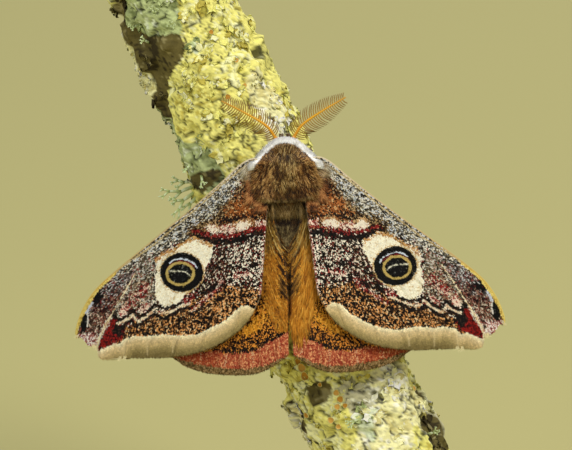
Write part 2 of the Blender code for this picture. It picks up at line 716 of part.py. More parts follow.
def ellipsoid_top(x, y, centre, radii):
    """The height of an ellipsoid's upper side at a place of the plan, or None beside it."""
    left = 1 - ((x - centre[0]) / radii[0]) ** 2 - ((y - centre[1]) / radii[1]) ** 2
    return centre[2] + radii[2] * math.sqrt(left) if left > 0 else None


def coat_floor(x, y):
    """The height that the back's hair lies on: the core, or clear of wings, abdomen and head."""
    heights = [ellipsoid_top(x, y, THORAX_AT, THORAX_RADII), 0.0]
    head = ellipsoid_top(x, y, HEAD_AT, HEAD_RADII)
    if head is not None:
        heights.append(head + GAP)
    if 4.0 < y < 10.9:
        wing = forewing_height(abs(x), y) + WING_THICK / 2 + VEIN_HEIGHT / 2 + GAP
        reach = smoothstep(0.5, 1.7, abs(x)) * (1 - smoothstep(9.7, 10.9, y))
        heights.append(wing - 3.0 * (1 - reach))
    if y < ABDOMEN_FRONT + 0.3 and abs(x) < ABDOMEN_RADIUS - 0.1:
        heights.append(abdomen_axis(y) + math.sqrt(ABDOMEN_RADIUS**2 - x * x) + GAP)
    return max(h for h in heights if h is not None)


def back_spine(x, y, way, length):
    """A lock's spine over the moth's back, from a root sunk in the core."""
    spine = []
    for lift, share in zip(LOCK_LIFTS, LOCK_SHARES):
        place = Vector((x, y, 0.0)) + way * length * share
        spine.append(Vector((place.x, place.y, coat_floor(place.x, place.y) + lift)))
    return spine


def back_locks(chance):
    """Rows of locks that fan back from the collar over the thorax, and out over the wings' roots."""
    locks = []
    for y, count, spread, length in BACK_ROWS:
        for i in range(count):
            x = spread * (2 * i / (count - 1) - 1)
            way = Vector((x * 0.75 + chance.uniform(-0.25, 0.25), y - 12.2, 0.0)).normalized()
            spine = back_spine(x, y + chance.uniform(-0.15, 0.15), way, length * chance.uniform(0.9, 1.1))
            locks.append(lock(spine, BACK_LOCK_WIDTH, BACK_LOCK_THICK, Vector((x * 0.2, 0.0, 1.0))))
    for side in (-1, 1):
        for y, length in WING_ROOT_ROWS:
            way = Vector((side * 1.1, -0.8 + chance.uniform(-0.1, 0.1), 0.0)).normalized()
            spine = back_spine(side * 1.9, y, way, length)
            locks.append(lock(spine, BACK_LOCK_WIDTH, BACK_LOCK_THICK, Vector((side * 0.25, 0.0, 1.0))))
    return locks


def collar_locks(chance):
    """The pale ruff between the head and the thorax, which reaches from wing to wing."""
    locks = []
    for i in range(COLLAR_COUNT):
        turn = math.radians(COLLAR_SPREAD_DEG * (2 * i / (COLLAR_COUNT - 1) - 1))
        ends = []
        for middle, wide, deep in (COLLAR_INNER, COLLAR_OUTER):
            ends.append(Vector((wide * math.sin(turn), middle + deep * math.cos(turn), 0.0)))
        run = ends[1] - ends[0]
        spine = back_spine(ends[0].x, ends[0].y, run.normalized(), run.length * chance.uniform(0.94, 1.04))
        locks.append(lock(spine, COLLAR_LOCK_WIDTH, BACK_LOCK_THICK, UP))
    return locks


def round_spine(y, azimuth_deg, length):
    """A lock's spine along the thorax's side or belly, back from its root."""
    turn = math.radians(azimuth_deg)
    spine = []
    for lift, share in zip(LOCK_LIFTS, LOCK_SHARES):
        here = y - length * share
        ring = math.sqrt(max(1 - ((here - THORAX_AT[1]) / (THORAX_RADII[1] + 0.4)) ** 2, 0.1))
        reach = [radius * ring + lift for radius in THORAX_RADII]
        if here < ABDOMEN_FRONT + 0.4:
            reach = [max(r, ABDOMEN_RADIUS + GAP + 0.35) for r in reach]
        spine.append(Vector((math.sin(turn) * reach[0], here, THORAX_AT[2] + math.cos(turn) * reach[2])))
    return spine


def flank_locks():
    """Locks on the thorax's sides, under the wings, and on its belly between the legs."""
    locks = []
    for y, azimuth in FLANK_ROWS:
        for side in (-1, 1):
            out = Vector((side * math.sin(math.radians(azimuth)), 0.0, math.cos(math.radians(azimuth))))
            locks.append(lock(round_spine(y, side * azimuth, 1.9), 1.5, 0.5, out))
    for y in BELLY_ROWS:
        locks.append(lock(round_spine(y, 180.0, 1.5), 0.95, 0.5, -UP))
    return locks


def face_locks():
    """The tuft on the forehead and the two short palps under it."""
    locks = []
    for turn_deg, rise_deg in FACE_LOCKS:
        turn, rise = math.radians(turn_deg), math.radians(rise_deg)
        out = Vector((math.sin(turn) * math.cos(rise), math.cos(turn) * math.cos(rise), math.sin(rise)))
        skin = Vector(HEAD_AT) + Vector([r * o for r, o in zip(HEAD_RADII, out)])
        down = Vector((0.0, 0.25, -1.0))
        steps = ((-0.35, 0.0), (0.22, 0.0), (0.3, 0.5), (0.2, 0.9))
        spine = [skin + out * lift + down * fall for lift, fall in steps]
        locks.append(lock(spine, 0.62, 0.4, out))
    for side in (-1, 1):
        root = Vector((side * PALP_ROOT[0], HEAD_AT[1] + PALP_ROOT[1], HEAD_AT[2] + PALP_ROOT[2]))
        spine = [root + Vector((side * 0.1 * ahead, ahead, rise)) for ahead, rise in PALP_STEPS]
        locks.append(lock(spine, 0.45, 0.5, UP))
    return locks


def tail_locks():
    """The tuft round the abdomen's tip."""
    locks = []
    y = ABDOMEN_TIP + TAIL_LOCK_AT
    for i in range(TAIL_LOCK_COUNT):
        turn = 2 * math.pi * (i + 0.37) / TAIL_LOCK_COUNT
        out = Vector((math.sin(turn), 0.0, math.cos(turn)))
        root = Vector((0.0, y, abdomen_axis(y))) + out * abdomen_radius(y)
        back = Vector((0.0, -1.0, 0.0))
        spine = [root + back * run + out * lift for run, lift in TAIL_STEPS]
        locks.append(lock(spine, 1.0, 0.45, out))
    return locks


def fringe_locks(side):
    """Long hair along the hindwing's inner edge, drawn back over the abdomen's side."""
    locks = []
    for x, y in FRINGE_ROOTS:
        tip = Vector((max(x - 1.0, 0.5), y - 2.7, 0.0))
        spine = []
        for share, lift in FRINGE_STEPS:
            place = Vector((x, y, 0.0)).lerp(tip, share)
            spine.append(Vector((side * place.x, place.y, hindwing_height(place.x, place.y) + lift)))
        locks.append(lock(spine, 0.7, 0.42, UP))
    return locks


def make_body(looks):
    """Thorax, head, eyes and abdomen, each cut face to face with what it grows from."""
    chance = random.Random(3)
    thorax = ellipsoid("thorax", THORAX_AT, THORAX_RADII, 24, 14, look=looks["coat"])
    cutter = ellipsoid("thorax_cutter", THORAX_AT, THORAX_RADII, 24, 14, GAP)
    fuse(thorax, back_locks(chance) + collar_locks(chance) + flank_locks())
    head = ellipsoid("head", HEAD_AT, HEAD_RADII, 16, 11, look=looks["coat"])
    abdomen = make_abdomen(looks["coat"])
    fuse(head, face_locks())
    fuse(abdomen, tail_locks())
    cut(head, cutter)
    cut(abdomen, cutter)
    eyes = []
    for side, name in ((1, "eye_r"), (-1, "eye_l")):
        centre = (side * EYE_AT[0], EYE_AT[1], EYE_AT[2])
        radii = (EYE_RADIUS, EYE_RADIUS, EYE_RADIUS)
        eyes.append(ellipsoid(name, centre, radii, 14, 9, look=looks["eye"]))
        socket = ellipsoid("socket", centre, radii, 14, 9, GAP)
        cut(head, socket)
        bpy.data.objects.remove(socket)
    return [thorax, head, abdomen, *eyes], cutter


def make_wings(thorax_cutter, looks):
    """The four wings, the hindwings with the long hair along their inner edges."""
    fold = (FOLD_ACROSS, FOLD_SHARE, FOLD_DROP_ROOT, FOLD_DROP_TIP)
    fore = Wing(FORE_COSTA, FORE_MARGIN, FORE_INNER, FORE_VEINS, forewing_height, fold)
    hind = Wing(HIND_COSTA, HIND_MARGIN, HIND_INNER, HIND_VEINS, hindwing_height)
    wings = []
    for side, mark in ((1, "r"), (-1, "l")):
        forewing = make_wing("forewing_" + mark, fore, side, 11, FORE_COLUMNS, looks["forewing"])
        hindwing = make_wing("hindwing_" + mark, hind, side, 9, HIND_COLUMNS, looks["hindwing"])
        fuse(hindwing, fringe_locks(side))
        for wing in (forewing, hindwing):
            cut(wing, thorax_cutter)
            wings.append(wing)
    return wings


def make_looks():
    return {
        "coat": material("brown coat", (0.20, 0.12, 0.06), 0.9),
        "eye": material("dark eye", (0.02, 0.015, 0.01), 0.2),
        "antenna": material("ochre antenna", (0.45, 0.27, 0.07), 0.7),
        "forewing": material("grey brown forewing", (0.23, 0.17, 0.14), 0.8),
        "hindwing": material("orange hindwing", (0.50, 0.23, 0.05), 0.8),
        "leg": material("brown leg", (0.22, 0.13, 0.07), 0.85),
        "bark": material("lichened bark", (0.42, 0.40, 0.16), 0.95),
        "base": material("dark wood base", (0.09, 0.06, 0.04), 0.5),
        "rod": material("brass rod", (0.55, 0.42, 0.20), 0.3, 1.0),
    }


def main():
    clear_scene()
    looks = make_looks()
    frame = make_frame()
    parts, thorax_cutter = make_body(looks)
    parts += make_wings(thorax_cutter, looks)
    head_cutter = ellipsoid("head_cutter", HEAD_AT, HEAD_RADII, 16, 11, GAP)
    for side, mark in ((1, "r"), (-1, "l")):
        antenna = make_antenna("antenna_" + mark, side, looks["antenna"])
        cut(antenna, head_cutter)
        parts.append(antenna)
    for name, (hip, foot, ahead) in LEGS.items():
        leg = make_leg(name, hip, foot, ahead, looks["leg"])
        cut(leg, thorax_cutter)
        parts.append(leg)
    parts.append(make_branch(looks["bark"]))
    for part in parts:
        lean(part, frame)
    make_base(looks["base"])
    make_rod(frame, looks["rod"])
    for cutter in (thorax_cutter, head_cutter):
        bpy.data.objects.remove(cutter)
    for obj in bpy.data.collections[PARTS_GROUP].objects:
        if obj.type == "MESH":
            obj.data.shade_smooth()
            obj.data.set_sharp_from_angle(angle=math.radians(SHARP_DEG))


main()
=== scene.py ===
# Looks of a life-size emperor moth at rest on a lichened branch, held by a small display stand.
# Places are in millimetres in the moth's own frame: +Y ahead, +X to its right, +Z out of its back.
# Markings are laid out on a plate: the moth seen from above its back, one unit being 0.112 mm.
import itertools
import math

import bpy
import numpy as np
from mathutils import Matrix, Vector, noise


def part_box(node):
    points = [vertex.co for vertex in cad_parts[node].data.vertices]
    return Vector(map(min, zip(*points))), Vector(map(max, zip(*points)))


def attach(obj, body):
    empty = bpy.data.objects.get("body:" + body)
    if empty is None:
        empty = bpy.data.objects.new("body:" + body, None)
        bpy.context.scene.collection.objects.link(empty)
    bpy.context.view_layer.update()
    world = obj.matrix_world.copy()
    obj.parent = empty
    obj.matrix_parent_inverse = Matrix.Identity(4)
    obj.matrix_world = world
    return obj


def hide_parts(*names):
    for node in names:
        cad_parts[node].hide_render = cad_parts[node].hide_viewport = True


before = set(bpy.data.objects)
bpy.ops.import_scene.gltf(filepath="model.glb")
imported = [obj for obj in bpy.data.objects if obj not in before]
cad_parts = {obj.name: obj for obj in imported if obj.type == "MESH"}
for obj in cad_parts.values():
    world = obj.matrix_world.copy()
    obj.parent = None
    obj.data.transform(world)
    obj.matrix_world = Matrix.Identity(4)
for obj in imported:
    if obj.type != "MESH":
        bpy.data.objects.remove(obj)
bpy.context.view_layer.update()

# Stance: how the moth's frame lies in the row's frame
MM = 0.001
MOTH_AT = np.array((1.0, -12.5, 45.5))
LEAN_DEG = 15.0
ROLL_DEG = 1.7

# Camera and plate
PLATE_UNIT = 0.112
CAMERA_DISTANCE = 400.0
VIEW_WIDTH = 572
VIEW_MIDDLE = (286.0, 225.0)
PLATE_ORIGIN = (288.0, 250.0)
ROLL_SLOPE = 0.0297
SENSOR_WIDTH = 36.0

# Body, wings and perch, as built in the solids
SIDES = (("r", 1), ("l", -1))
GAP = 0.3
WING_HALF = 0.28
VEIN_RISE = 0.16
VEIN_HALF_WIDTH = 0.22
THORAX_AT = np.array((0.0, 7.6, 0.2))
THORAX_RADII = np.array((3.0, 3.2, 2.8))
HEAD_AT = np.array((0.0, 11.2, -1.2))
HEAD_RADII = np.array((1.5, 1.45, 1.35))
EYE_AT = (1.22, 11.6, -1.4)
EYE_RADIUS = 0.72
ABDOMEN_FRONT = 5.6
ABDOMEN_TIP = -7.4
ABDOMEN_RADIUS = 2.15
BRANCH_TURN_DEG = 22.5
BRANCH_DEPTH = 12.9
BRANCH_RADIUS = 6.9
BRANCH_LOW = -29.0
BRANCH_HIGH = 35.0
BARK_RELIEF = 0.6
LICHEN_RELIEF = 0.75
BASE_RADIUS = 29.0
BASE_HEIGHT = 5.0
BASE_ROUNDING = 0.9

FORE_COSTA = [(2.3, 9.5), (3.5, 10.2), (4.8, 9.7), (7.0, 7.8), (11.0, 4.55), (15.1, 1.45), (20.1, -2.4),
              (22.2, -4.3), (23.6, -6.3), (24.4, -8.2), (24.6, -9.3)]
FORE_MARGIN = [(24.6, -9.3), (24.0, -9.2), (23.0, -10.2), (22.1, -10.4), (21.9, -11.2), (21.75, -11.6),
               (20.9, -11.8), (19.0, -11.65), (16.5, -11.6), (13.5, -11.55), (11.1, -11.2), (8.7, -10.45),
               (6.5, -9.2), (5.0, -7.9), (4.1, -6.65)]
FORE_INNER = [(1.9, 6.8), (2.24, 4.6), (2.42, 2.5), (2.7, 0.0), (2.95, -2.5), (3.25, -4.8), (4.1, -6.65)]
HIND_COSTA = [(2.4, 7.4), (5.0, 5.4), (8.6, 1.4), (12.2, -4.4), (14.0, -8.6), (14.2, -10.6), (13.5, -11.65)]
HIND_MARGIN = [(13.5, -11.65), (11.5, -12.85), (8.6, -13.55), (4.3, -13.6), (2.2, -12.8), (0.3, -11.5)]
HIND_INNER = [(1.6, 5.4), (1.5, 3.4), (1.0, 0.6), (0.45, -1.6), (0.3, -5.0), (0.25, -8.5), (0.3, -11.5)]
FORE_VEINS = [(0.12, 0.1), (0.25, 0.45), (0.38, 0.5), (0.52, 0.4), (0.66, 0.2), (0.85, 0.1)]
HIND_VEINS = [(0.12, 0.1), (0.28, 0.4), (0.44, 0.45), (0.6, 0.4), (0.76, 0.2), (0.9, 0.1)]
ANTENNA_STEM = [(0.75, 12.0, -0.7), (1.1, 12.7, -0.2), (2.0, 13.95, 0.4), (4.15, 15.35, 0.7),
                (6.95, 16.9, 0.3)]
RAMUS_LENGTHS = [0.95, 1.5, 1.75, 1.75, 1.5, 1.1, 0.6]
LEGS = {
    "leg_fore_r": ((0.9, 9.5, -1.8), (1.5, 10.4)),
    "leg_mid_r": ((1.5, 7.9, -2.0), (2.3, 7.0)),
    "leg_hind_r": ((1.3, 6.1, -1.8), (3.4, 3.2)),
    "leg_fore_l": ((-0.9, 9.5, -1.8), (-1.7, 10.6)),
    "leg_mid_l": ((-1.5, 7.9, -2.0), (-4.2, 7.9)),
    "leg_hind_l": ((-1.3, 6.1, -1.8), (-3.9, 3.4)),
}


# Numbers

def turn_matrix():
    """The moth's axes as columns in the row's frame."""
    lean, roll = math.radians(90 - LEAN_DEG), math.radians(ROLL_DEG)
    about_x = np.array(((1, 0, 0),
                        (0, math.cos(lean), -math.sin(lean)),
                        (0, math.sin(lean), math.cos(lean))))
    about_z = np.array(((math.cos(roll), -math.sin(roll), 0),
                        (math.sin(roll), math.cos(roll), 0),
                        (0, 0, 1)))
    return about_x @ about_z


TURN = turn_matrix()


def to_world(points):
    """Places in the moth's frame, in millimetres, as places in the row's frame, in metres."""
    return (np.asarray(points, float) @ TURN.T + MOTH_AT) * MM


def on_plate(points):
    """Where places of the moth fall on the plate; the left side is laid over the right."""
    scale = CAMERA_DISTANCE / (CAMERA_DISTANCE - points[:, 2]) / PLATE_UNIT
    across, ahead = np.abs(points[:, 0]) * scale, points[:, 1] * scale
    return (PLATE_ORIGIN[0] + across - ROLL_SLOPE * ahead,
            PLATE_ORIGIN[1] - ahead - ROLL_SLOPE * across)


def ease(low, high, value):
    """Rises smoothly from 0 at low to 1 at high."""
    t = np.clip((value - low) / (high - low), 0.0, 1.0)
    return t * t * (3 - 2 * t)


def over(height, floor, softness=0.4):
    """The height, but no lower than the floor, with a smooth turn from one to the other."""
    return 0.5 * (height + floor + np.sqrt((height - floor) ** 2 + softness**2))


def unit(vectors):
    return vectors / np.maximum(np.linalg.norm(vectors, axis=-1, keepdims=True), 1e-9)


def hashed(cells, seed):
    """A number from 0 to 1 for each cell of a lattice."""
    mixed = np.full(cells[0].shape, (seed * 2654435761 + 97) % 2**32, dtype=np.uint32)
    for cell in cells:
        mixed = (mixed ^ cell.astype(np.int64).astype(np.uint32)) * np.uint32(2654435769)
        mixed ^= mixed >> np.uint32(15)
    mixed *= np.uint32(2246822507)
    mixed ^= mixed >> np.uint32(13)
    return mixed / 2.0**32


def dice(count, seed):
    """A number from 0 to 1 for each of a row of places, the same each time for one seed."""
    return hashed([np.arange(count)], seed)


def ranked(values):
    """The values' ranks as shares from 0 to 1, so that a palette's shares come out as given."""
    rank = np.empty(len(values))
    rank[np.argsort(values)] = (np.arange(len(values)) + 0.5) / len(values)
    return rank


def grain(*coords, seed=0):
    """Smooth noise from 0 to 1, in as many directions as are given."""
    coords = np.broadcast_arrays(*[np.asarray(c, float) for c in coords])
    cells = [np.floor(c).astype(np.int64) for c in coords]
    shares = [c - k for c, k in zip(coords, cells)]
    shares = [s * s * (3 - 2 * s) for s in shares]
    total = 0.0
    for corner in itertools.product((0, 1), repeat=len(coords)):
        weight = 1.0
        for far, share in zip(corner, shares):
            weight = weight * (share if far else 1 - share)
        total = total + weight * hashed([k + far for k, far in zip(cells, corner)], seed)
    return total


class Path:
    """A smooth curve through a few places, read at shares of its length."""

    def __init__(self, places):
        self.places = np.array(places, float)
        steps = np.linalg.norm(np.diff(self.places, axis=0), axis=1)
        self.knots = np.concatenate(([0.0], np.cumsum(steps)))
        last = len(self.places) - 1
        low, high = np.maximum(np.arange(last + 1) - 1, 0), np.minimum(np.arange(last + 1) + 1, last)
        self.slopes = (self.places[high] - self.places[low]) / (self.knots[high] - self.knots[low])[:, None]

    def at(self, share):
        reach = np.clip(np.asarray(share, float), 0.0, 1.0) * self.knots[-1]
        i = np.clip(np.searchsorted(self.knots, reach, side="left") - 1, 0, len(self.knots) - 2)
        span = (self.knots[i + 1] - self.knots[i])[..., None]
        t = (reach - self.knots[i])[..., None] / span
        start, end = self.slopes[i] * span, self.slopes[i + 1] * span
        return (self.places[i] * (2 * t**3 - 3 * t**2 + 1) + start * (t**3 - 2 * t**2 + t)
                + self.places[i + 1] * (3 * t**2 - 2 * t**3) + end * (t**3 - t**2))


# Colours

def tone(red, green, blue):
    """A colour given as it looks on a screen, as linear light."""
    value = np.array((red, green, blue)) / 255.0
    return np.where(value <= 0.04045, value / 12.92, ((value + 0.055) / 1.055) ** 2.4)


def shades(*parts):
    """A palette: each part is a share and a colour as it looks on a screen."""
    return [(share, tone(*colour)) for share, *colour in parts]


def choose(palette, pick):
    """For each pick from 0 to 1, a colour of the palette, by the colours' shares."""
    shares = np.array([share for share, _ in palette], float)
    tones = np.array([colour for _, colour in palette])
    index = np.searchsorted(np.cumsum(shares) / shares.sum(), pick)
    return tones[np.minimum(index, len(palette) - 1)]


def line_distance(x, y, line):
    """Distance of each place from a line of straight parts."""
    best = np.full(x.shape, 1e9)
    for (ax, ay), (bx, by) in zip(line[:-1], line[1:]):
        dx, dy = bx - ax, by - ay
        t = np.clip(((x - ax) * dx + (y - ay) * dy) / (dx * dx + dy * dy + 1e-9), 0, 1)
        best = np.minimum(best, np.hypot(x - ax - t * dx, y - ay - t * dy))
    return best


def depth_inside(x, y, outline):
    """Distance from an outline, above zero inside it."""
    closed = list(outline) + [outline[0]]
    odd = np.zeros(x.shape, bool)
    for (ax, ay), (bx, by) in zip(closed[:-1], closed[1:]):
        if ay != by:
            odd ^= ((ay > y) != (by > y)) & (x < (bx - ax) * (y - ay) / (by - ay) + ax)
    gap = line_distance(x, y, closed)
    return np.where(odd, gap, -gap)


class Paint:
    """Colours of places on the plate, laid on in layers; pick chooses among a palette's colours."""

    def __init__(self, x, y, pick, seed):
        self.x, self.y, self.pick = x, y, pick
        self.colour = np.zeros((len(x), 3))
        self.ragged = (grain(x * 0.45, y * 0.45, seed=seed) - 0.5) * 2
        self.seed, self.layers, self.crisp = seed, 0, False

    def lay(self, palette, mask):
        """Each place takes the layer's colour or keeps its own, by chance, or cleanly where it is crisp."""
        self.layers += 1
        colour = choose(palette, self.pick) if isinstance(palette, list) else palette
        chance = 0.5 if self.crisp else dice(len(self.x), self.seed + 31 * self.layers)
        self.colour = np.where((chance < mask)[:, None], colour, self.colour)

    def wash(self, colour, mask):
        """Tints the places, as far as the mask says."""
        self.colour = self.colour + (colour - self.colour) * np.clip(mask, 0, 1)[:, None]

    def edge(self, depth, soft, ragged):
        return ease(-soft - 0.3, soft + 0.3, depth + 0.7 * ragged * self.ragged)

    def area(self, outline, palette, soft=0.5, ragged=0.8, strength=1.0):
        self.lay(palette, strength * self.edge(depth_inside(self.x, self.y, outline), soft, ragged))

    def stroke(self, line, width, palette, soft=0.5, ragged=0.5, strength=1.0):
        depth = width / 2 - line_distance(self.x, self.y, line)
        self.lay(palette, strength * self.edge(depth, soft, ragged))

    def oval(self, centre, radii, palette, tilt_deg=0.0, soft=0.5, ragged=0.4, strength=1.0, hollow=0.0):
        """A filled oval, or with hollow, a ring of that thickness."""
        turn = math.radians(tilt_deg)
        dx, dy = self.x - centre[0], self.y - centre[1]
        along = dx * math.cos(turn) + dy * math.sin(turn)
        aside = dy * math.cos(turn) - dx * math.sin(turn)
        depth = (1 - np.hypot(along / radii[0], aside / radii[1])) * min(radii)
        if hollow:
            depth = hollow / 2 - np.abs(depth - hollow / 2)
        self.lay(palette, strength * self.edge(depth, soft, ragged))


# Meshes

def rim_of(grid):
    """The outermost places of a grid, once round."""
    return np.concatenate((grid[0, :-1], grid[:-1, -1], grid[-1, :0:-1], grid[:0:-1, 0]))


class Bag:
    """Points, faces, colours and unwrap places that are joined into one mesh."""

    def __init__(self):
        self.points, self.colours, self.spots, self.faces = [], [], [], []
        self.count = 0

    def add(self, points, faces, colours, spots):
        points = np.asarray(points, float).reshape(-1, 3)
        self.faces += [np.asarray(face, int) + self.count for face in faces]
        self.points.append(points)
        self.colours.append(np.broadcast_to(colours, points.shape))
        self.spots.append(np.broadcast_to(spots, (len(points), 2)))
        self.count += len(points)

    def grid(self, points, colours, spots, wrap=False):
        """A sheet of quads over rows and columns of points."""
        rows, columns = points.shape[:2]
        index = np.arange(rows * columns).reshape(rows, columns)
        if wrap:
            index = np.concatenate((index, index[:, :1]), axis=1)
        quads = np.stack((index[:-1, :-1], index[:-1, 1:], index[1:, 1:], index[1:, :-1]), axis=-1)
        self.add(points, [quads.reshape(-1, 4)], np.broadcast_to(colours, points.shape).reshape(-1, 3),
                 np.broadcast_to(spots, (rows, columns, 2)).reshape(-1, 2))


def make_piece(name, bag, look, nodes=(), smooth=True, in_world=False):
    """One mesh object from a bag, riding on the body and standing for the named solids."""
    points = np.concatenate(bag.points)
    points = points if in_world else to_world(points)
    corners = np.concatenate([face.ravel() for face in bag.faces])
    sizes = np.concatenate([np.full(len(face), face.shape[1]) for face in bag.faces])
    mesh = bpy.data.meshes.new(name)
    mesh.vertices.add(len(points))
    mesh.vertices.foreach_set("co", points.astype(np.float32).ravel())
    mesh.loops.add(len(corners))
    mesh.loops.foreach_set("vertex_index", corners.astype(np.int32))
    mesh.polygons.add(len(sizes))
    mesh.polygons.foreach_set("loop_start", (np.cumsum(sizes) - sizes).astype(np.int32))
    mesh.polygons.foreach_set("use_smooth", np.full(len(sizes), smooth))
    mesh.update(calc_edges=True)
    colours = np.concatenate(bag.colours)
    painted = mesh.color_attributes.new("Coat", "FLOAT_COLOR", "POINT")
    opaque = np.column_stack((colours, np.ones(len(colours))))
    painted.data.foreach_set("color", opaque.astype(np.float32).ravel())
    layer = mesh.uv_layers.new(name="OFBake")
    layer.data.foreach_set("uv", np.concatenate(bag.spots)[corners].astype(np.float32).ravel())
    mesh.materials.append(look)
    piece = bpy.data.objects.new(name, mesh)
    bpy.context.collection.objects.link(piece)
    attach(piece, "root")
    if nodes:
        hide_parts(*nodes)
    return piece


PATCH = 0.003
HAIR_STEPS = np.array((0.0, 0.32, 0.68, 1.0))
SHORT_STEPS = np.array((0.0, 0.45, 1.0))


def add_strands(bag, paths, widths, root_colour, tip_colour, spots, taper=(0.75, 1.0, 0.72)):
    """Closed three-sided hairs along paths of a few places each, thinning to a point."""
    count, steps = paths.shape[:2]
    ahead = unit(np.gradient(paths, axis=1))
    helper = np.where(np.abs(ahead[..., 2:]) > 0.9, (1.0, 0.0, 0.0), (0.0, 0.0, 1.0))
    aside = unit(np.cross(ahead, helper))
    upward = np.cross(aside, ahead)
    shape = np.interp(np.linspace(0, 1, steps - 1), np.linspace(0, 1, len(taper)), taper)
    angle = 2 * np.pi * np.arange(3) / 3 + 0.5
    reach = 0.5 * np.asarray(widths)[:, None, None, None] * shape[None, :, None, None]
    rings = paths[:, :-1, None] + reach * (aside[:, :-1, None] * np.cos(angle)[:, None]
                                           + upward[:, :-1, None] * np.sin(angle)[:, None])
    points = np.concatenate((rings.reshape(count, -1, 3), paths[:, -1:]), axis=1)
    each = points.shape[1]
    level = np.append(np.repeat(np.arange(steps - 1), 3), steps - 1) / (steps - 1)
    colours = root_colour[:, None] + (tip_colour - root_colour)[:, None] * (level**0.8)[None, :, None]
    patch = np.column_stack((np.append(np.tile(np.arange(3), steps - 1) / 2, 0.5), level)) * PATCH
    start = np.arange(count)[:, None] * each
    quads = [[3 * s + k, 3 * s + (k + 1) % 3, 3 * s + 3 + (k + 1) % 3, 3 * s + 3 + k]
             for s in range(steps - 2) for k in range(3)]
    last = 3 * (steps - 2)
    ends = [[last + k, last + (k + 1) % 3, last + 3] for k in range(3)] + [[2, 1, 0]]
    bag.add(points.reshape(-1, 3),
            [(start[:, :, None] + np.array(quads)[None]).reshape(-1, 4),
             (start[:, :, None] + np.array(ends)[None]).reshape(-1, 3)],
            colours.reshape(-1, 3), (spots[:, None] + patch[None]).reshape(-1, 2))


def add_flakes(bag, places, normals, ways, lengths, widths, tilt, colours, spots):
    """Small closed scales like tiles: fixed at the near end, lifted at the far end."""
    count = len(places)
    ways = unit(ways - normals * np.sum(ways * normals, axis=1)[:, None])
    aside = np.cross(normals, ways)
    lengths, widths = lengths[:, None], widths[:, None]
    rise = normals * lengths * np.asarray(tilt).reshape(-1, 1)
    points = np.stack((places - 0.5 * ways * lengths,
                       places + 0.5 * ways * lengths + 0.5 * aside * widths + rise,
                       places + 0.5 * ways * lengths - 0.5 * aside * widths + rise,
                       places + 0.1 * ways * lengths - 0.05 * normals), axis=1)
    # Painted shade and light: each scale is darker at its near end, which lies under the scale before it, a
    # little lighter at its lifted far end, and darkest at its hidden point below.
    shade = np.array((0.82, 1.04, 1.04, 0.7))
    patch = np.array(((0.5, 0.0), (0.0, 1.0), (1.0, 1.0), (0.5, 0.5))) * PATCH
    faces = np.array(((0, 2, 1), (0, 1, 3), (2, 0, 3), (1, 2, 3)))
    start = np.arange(count)[:, None, None] * 4
    bag.add(points.reshape(-1, 3), [(start + faces[None]).reshape(-1, 3)],
            (colours[:, None] * shade[None, :, None]).reshape(-1, 3),
            (spots[:, None] + patch[None]).reshape(-1, 2))


# Looks

def new_look(name, roughness, specular=0.3, sheen=0.0, coat=0.0):
    """A material with its shader, ready for a colour and a bump."""
    look = bpy.data.materials.new(name)
    look.use_nodes = True
    shader = look.node_tree.nodes["Principled BSDF"]
    shader.inputs["Roughness"].default_value = roughness
    shader.inputs["Specular IOR Level"].default_value = specular
    shader.inputs["Sheen Weight"].default_value = sheen
    shader.inputs["Coat Weight"].default_value = coat
    return look, look.node_tree, shader


def add_node(tree, kind, **values):
    """A shader node with its sockets or settings filled in by name."""
    node = tree.nodes.new(kind)
    for name, value in values.items():
        if name in node.inputs:
            node.inputs[name].default_value = value
        else:
            setattr(node, name, value)
    return node


def add_bump(tree, shader, height, strength, distance):
    bump = add_node(tree, "ShaderNodeBump", Strength=strength, Distance=distance)
    tree.links.new(height, bump.inputs["Height"])
    tree.links.new(bump.outputs["Normal"], shader.inputs["Normal"])


def blend_tones(tree, shader, factor, tones):
    """Colours the shader between two tones, by a factor from 0 to 1."""
    blend = add_node(tree, "ShaderNodeMix", data_type="RGBA")
    blend.inputs[6].default_value = (*tones[0], 1.0)
    blend.inputs[7].default_value = (*tones[1], 1.0)
    tree.links.new(factor, blend.inputs[0])
    tree.links.new(blend.outputs[2], shader.inputs["Base Color"])


def noise_height(tree, scale, detail=3.0, stretch=(1.0, 1.0, 1.0)):
    """Noise in the row's own frame, at a scale given per metre."""
    place = add_node(tree, "ShaderNodeTexCoord")
    mapping = add_node(tree, "ShaderNodeMapping", Scale=stretch)
    cloud = add_node(tree, "ShaderNodeTexNoise", Scale=scale, Detail=detail)
    tree.links.new(place.outputs["Object"], mapping.inputs["Vector"])
    tree.links.new(mapping.outputs["Vector"], cloud.inputs["Vector"])
    return cloud.outputs["Fac"]


def painted_look(name, roughness, bump_scale, bump_strength, bump_depth, vary=0.0, **finish):
    """The painted coat colour, varied a little by fine noise, with a fine bump."""
    look, tree, shader = new_look(name, roughness, **finish)
    coat = add_node(tree, "ShaderNodeAttribute", attribute_name="Coat")
    height = noise_height(tree, bump_scale)
    scale = add_node(tree, "ShaderNodeMapRange")
    scale.inputs["To Min"].default_value = 1.0 - vary
    scale.inputs["To Max"].default_value = 1.0 + vary
    tree.links.new(height, scale.inputs["Value"])
    tint = add_node(tree, "ShaderNodeVectorMath", operation="SCALE")
    tree.links.new(coat.outputs["Color"], tint.inputs[0])
    tree.links.new(scale.outputs["Result"], tint.inputs["Scale"])
    tree.links.new(tint.outputs["Vector"], shader.inputs["Base Color"])
    add_bump(tree, shader, height, bump_strength, bump_depth)
    return look


# Studio

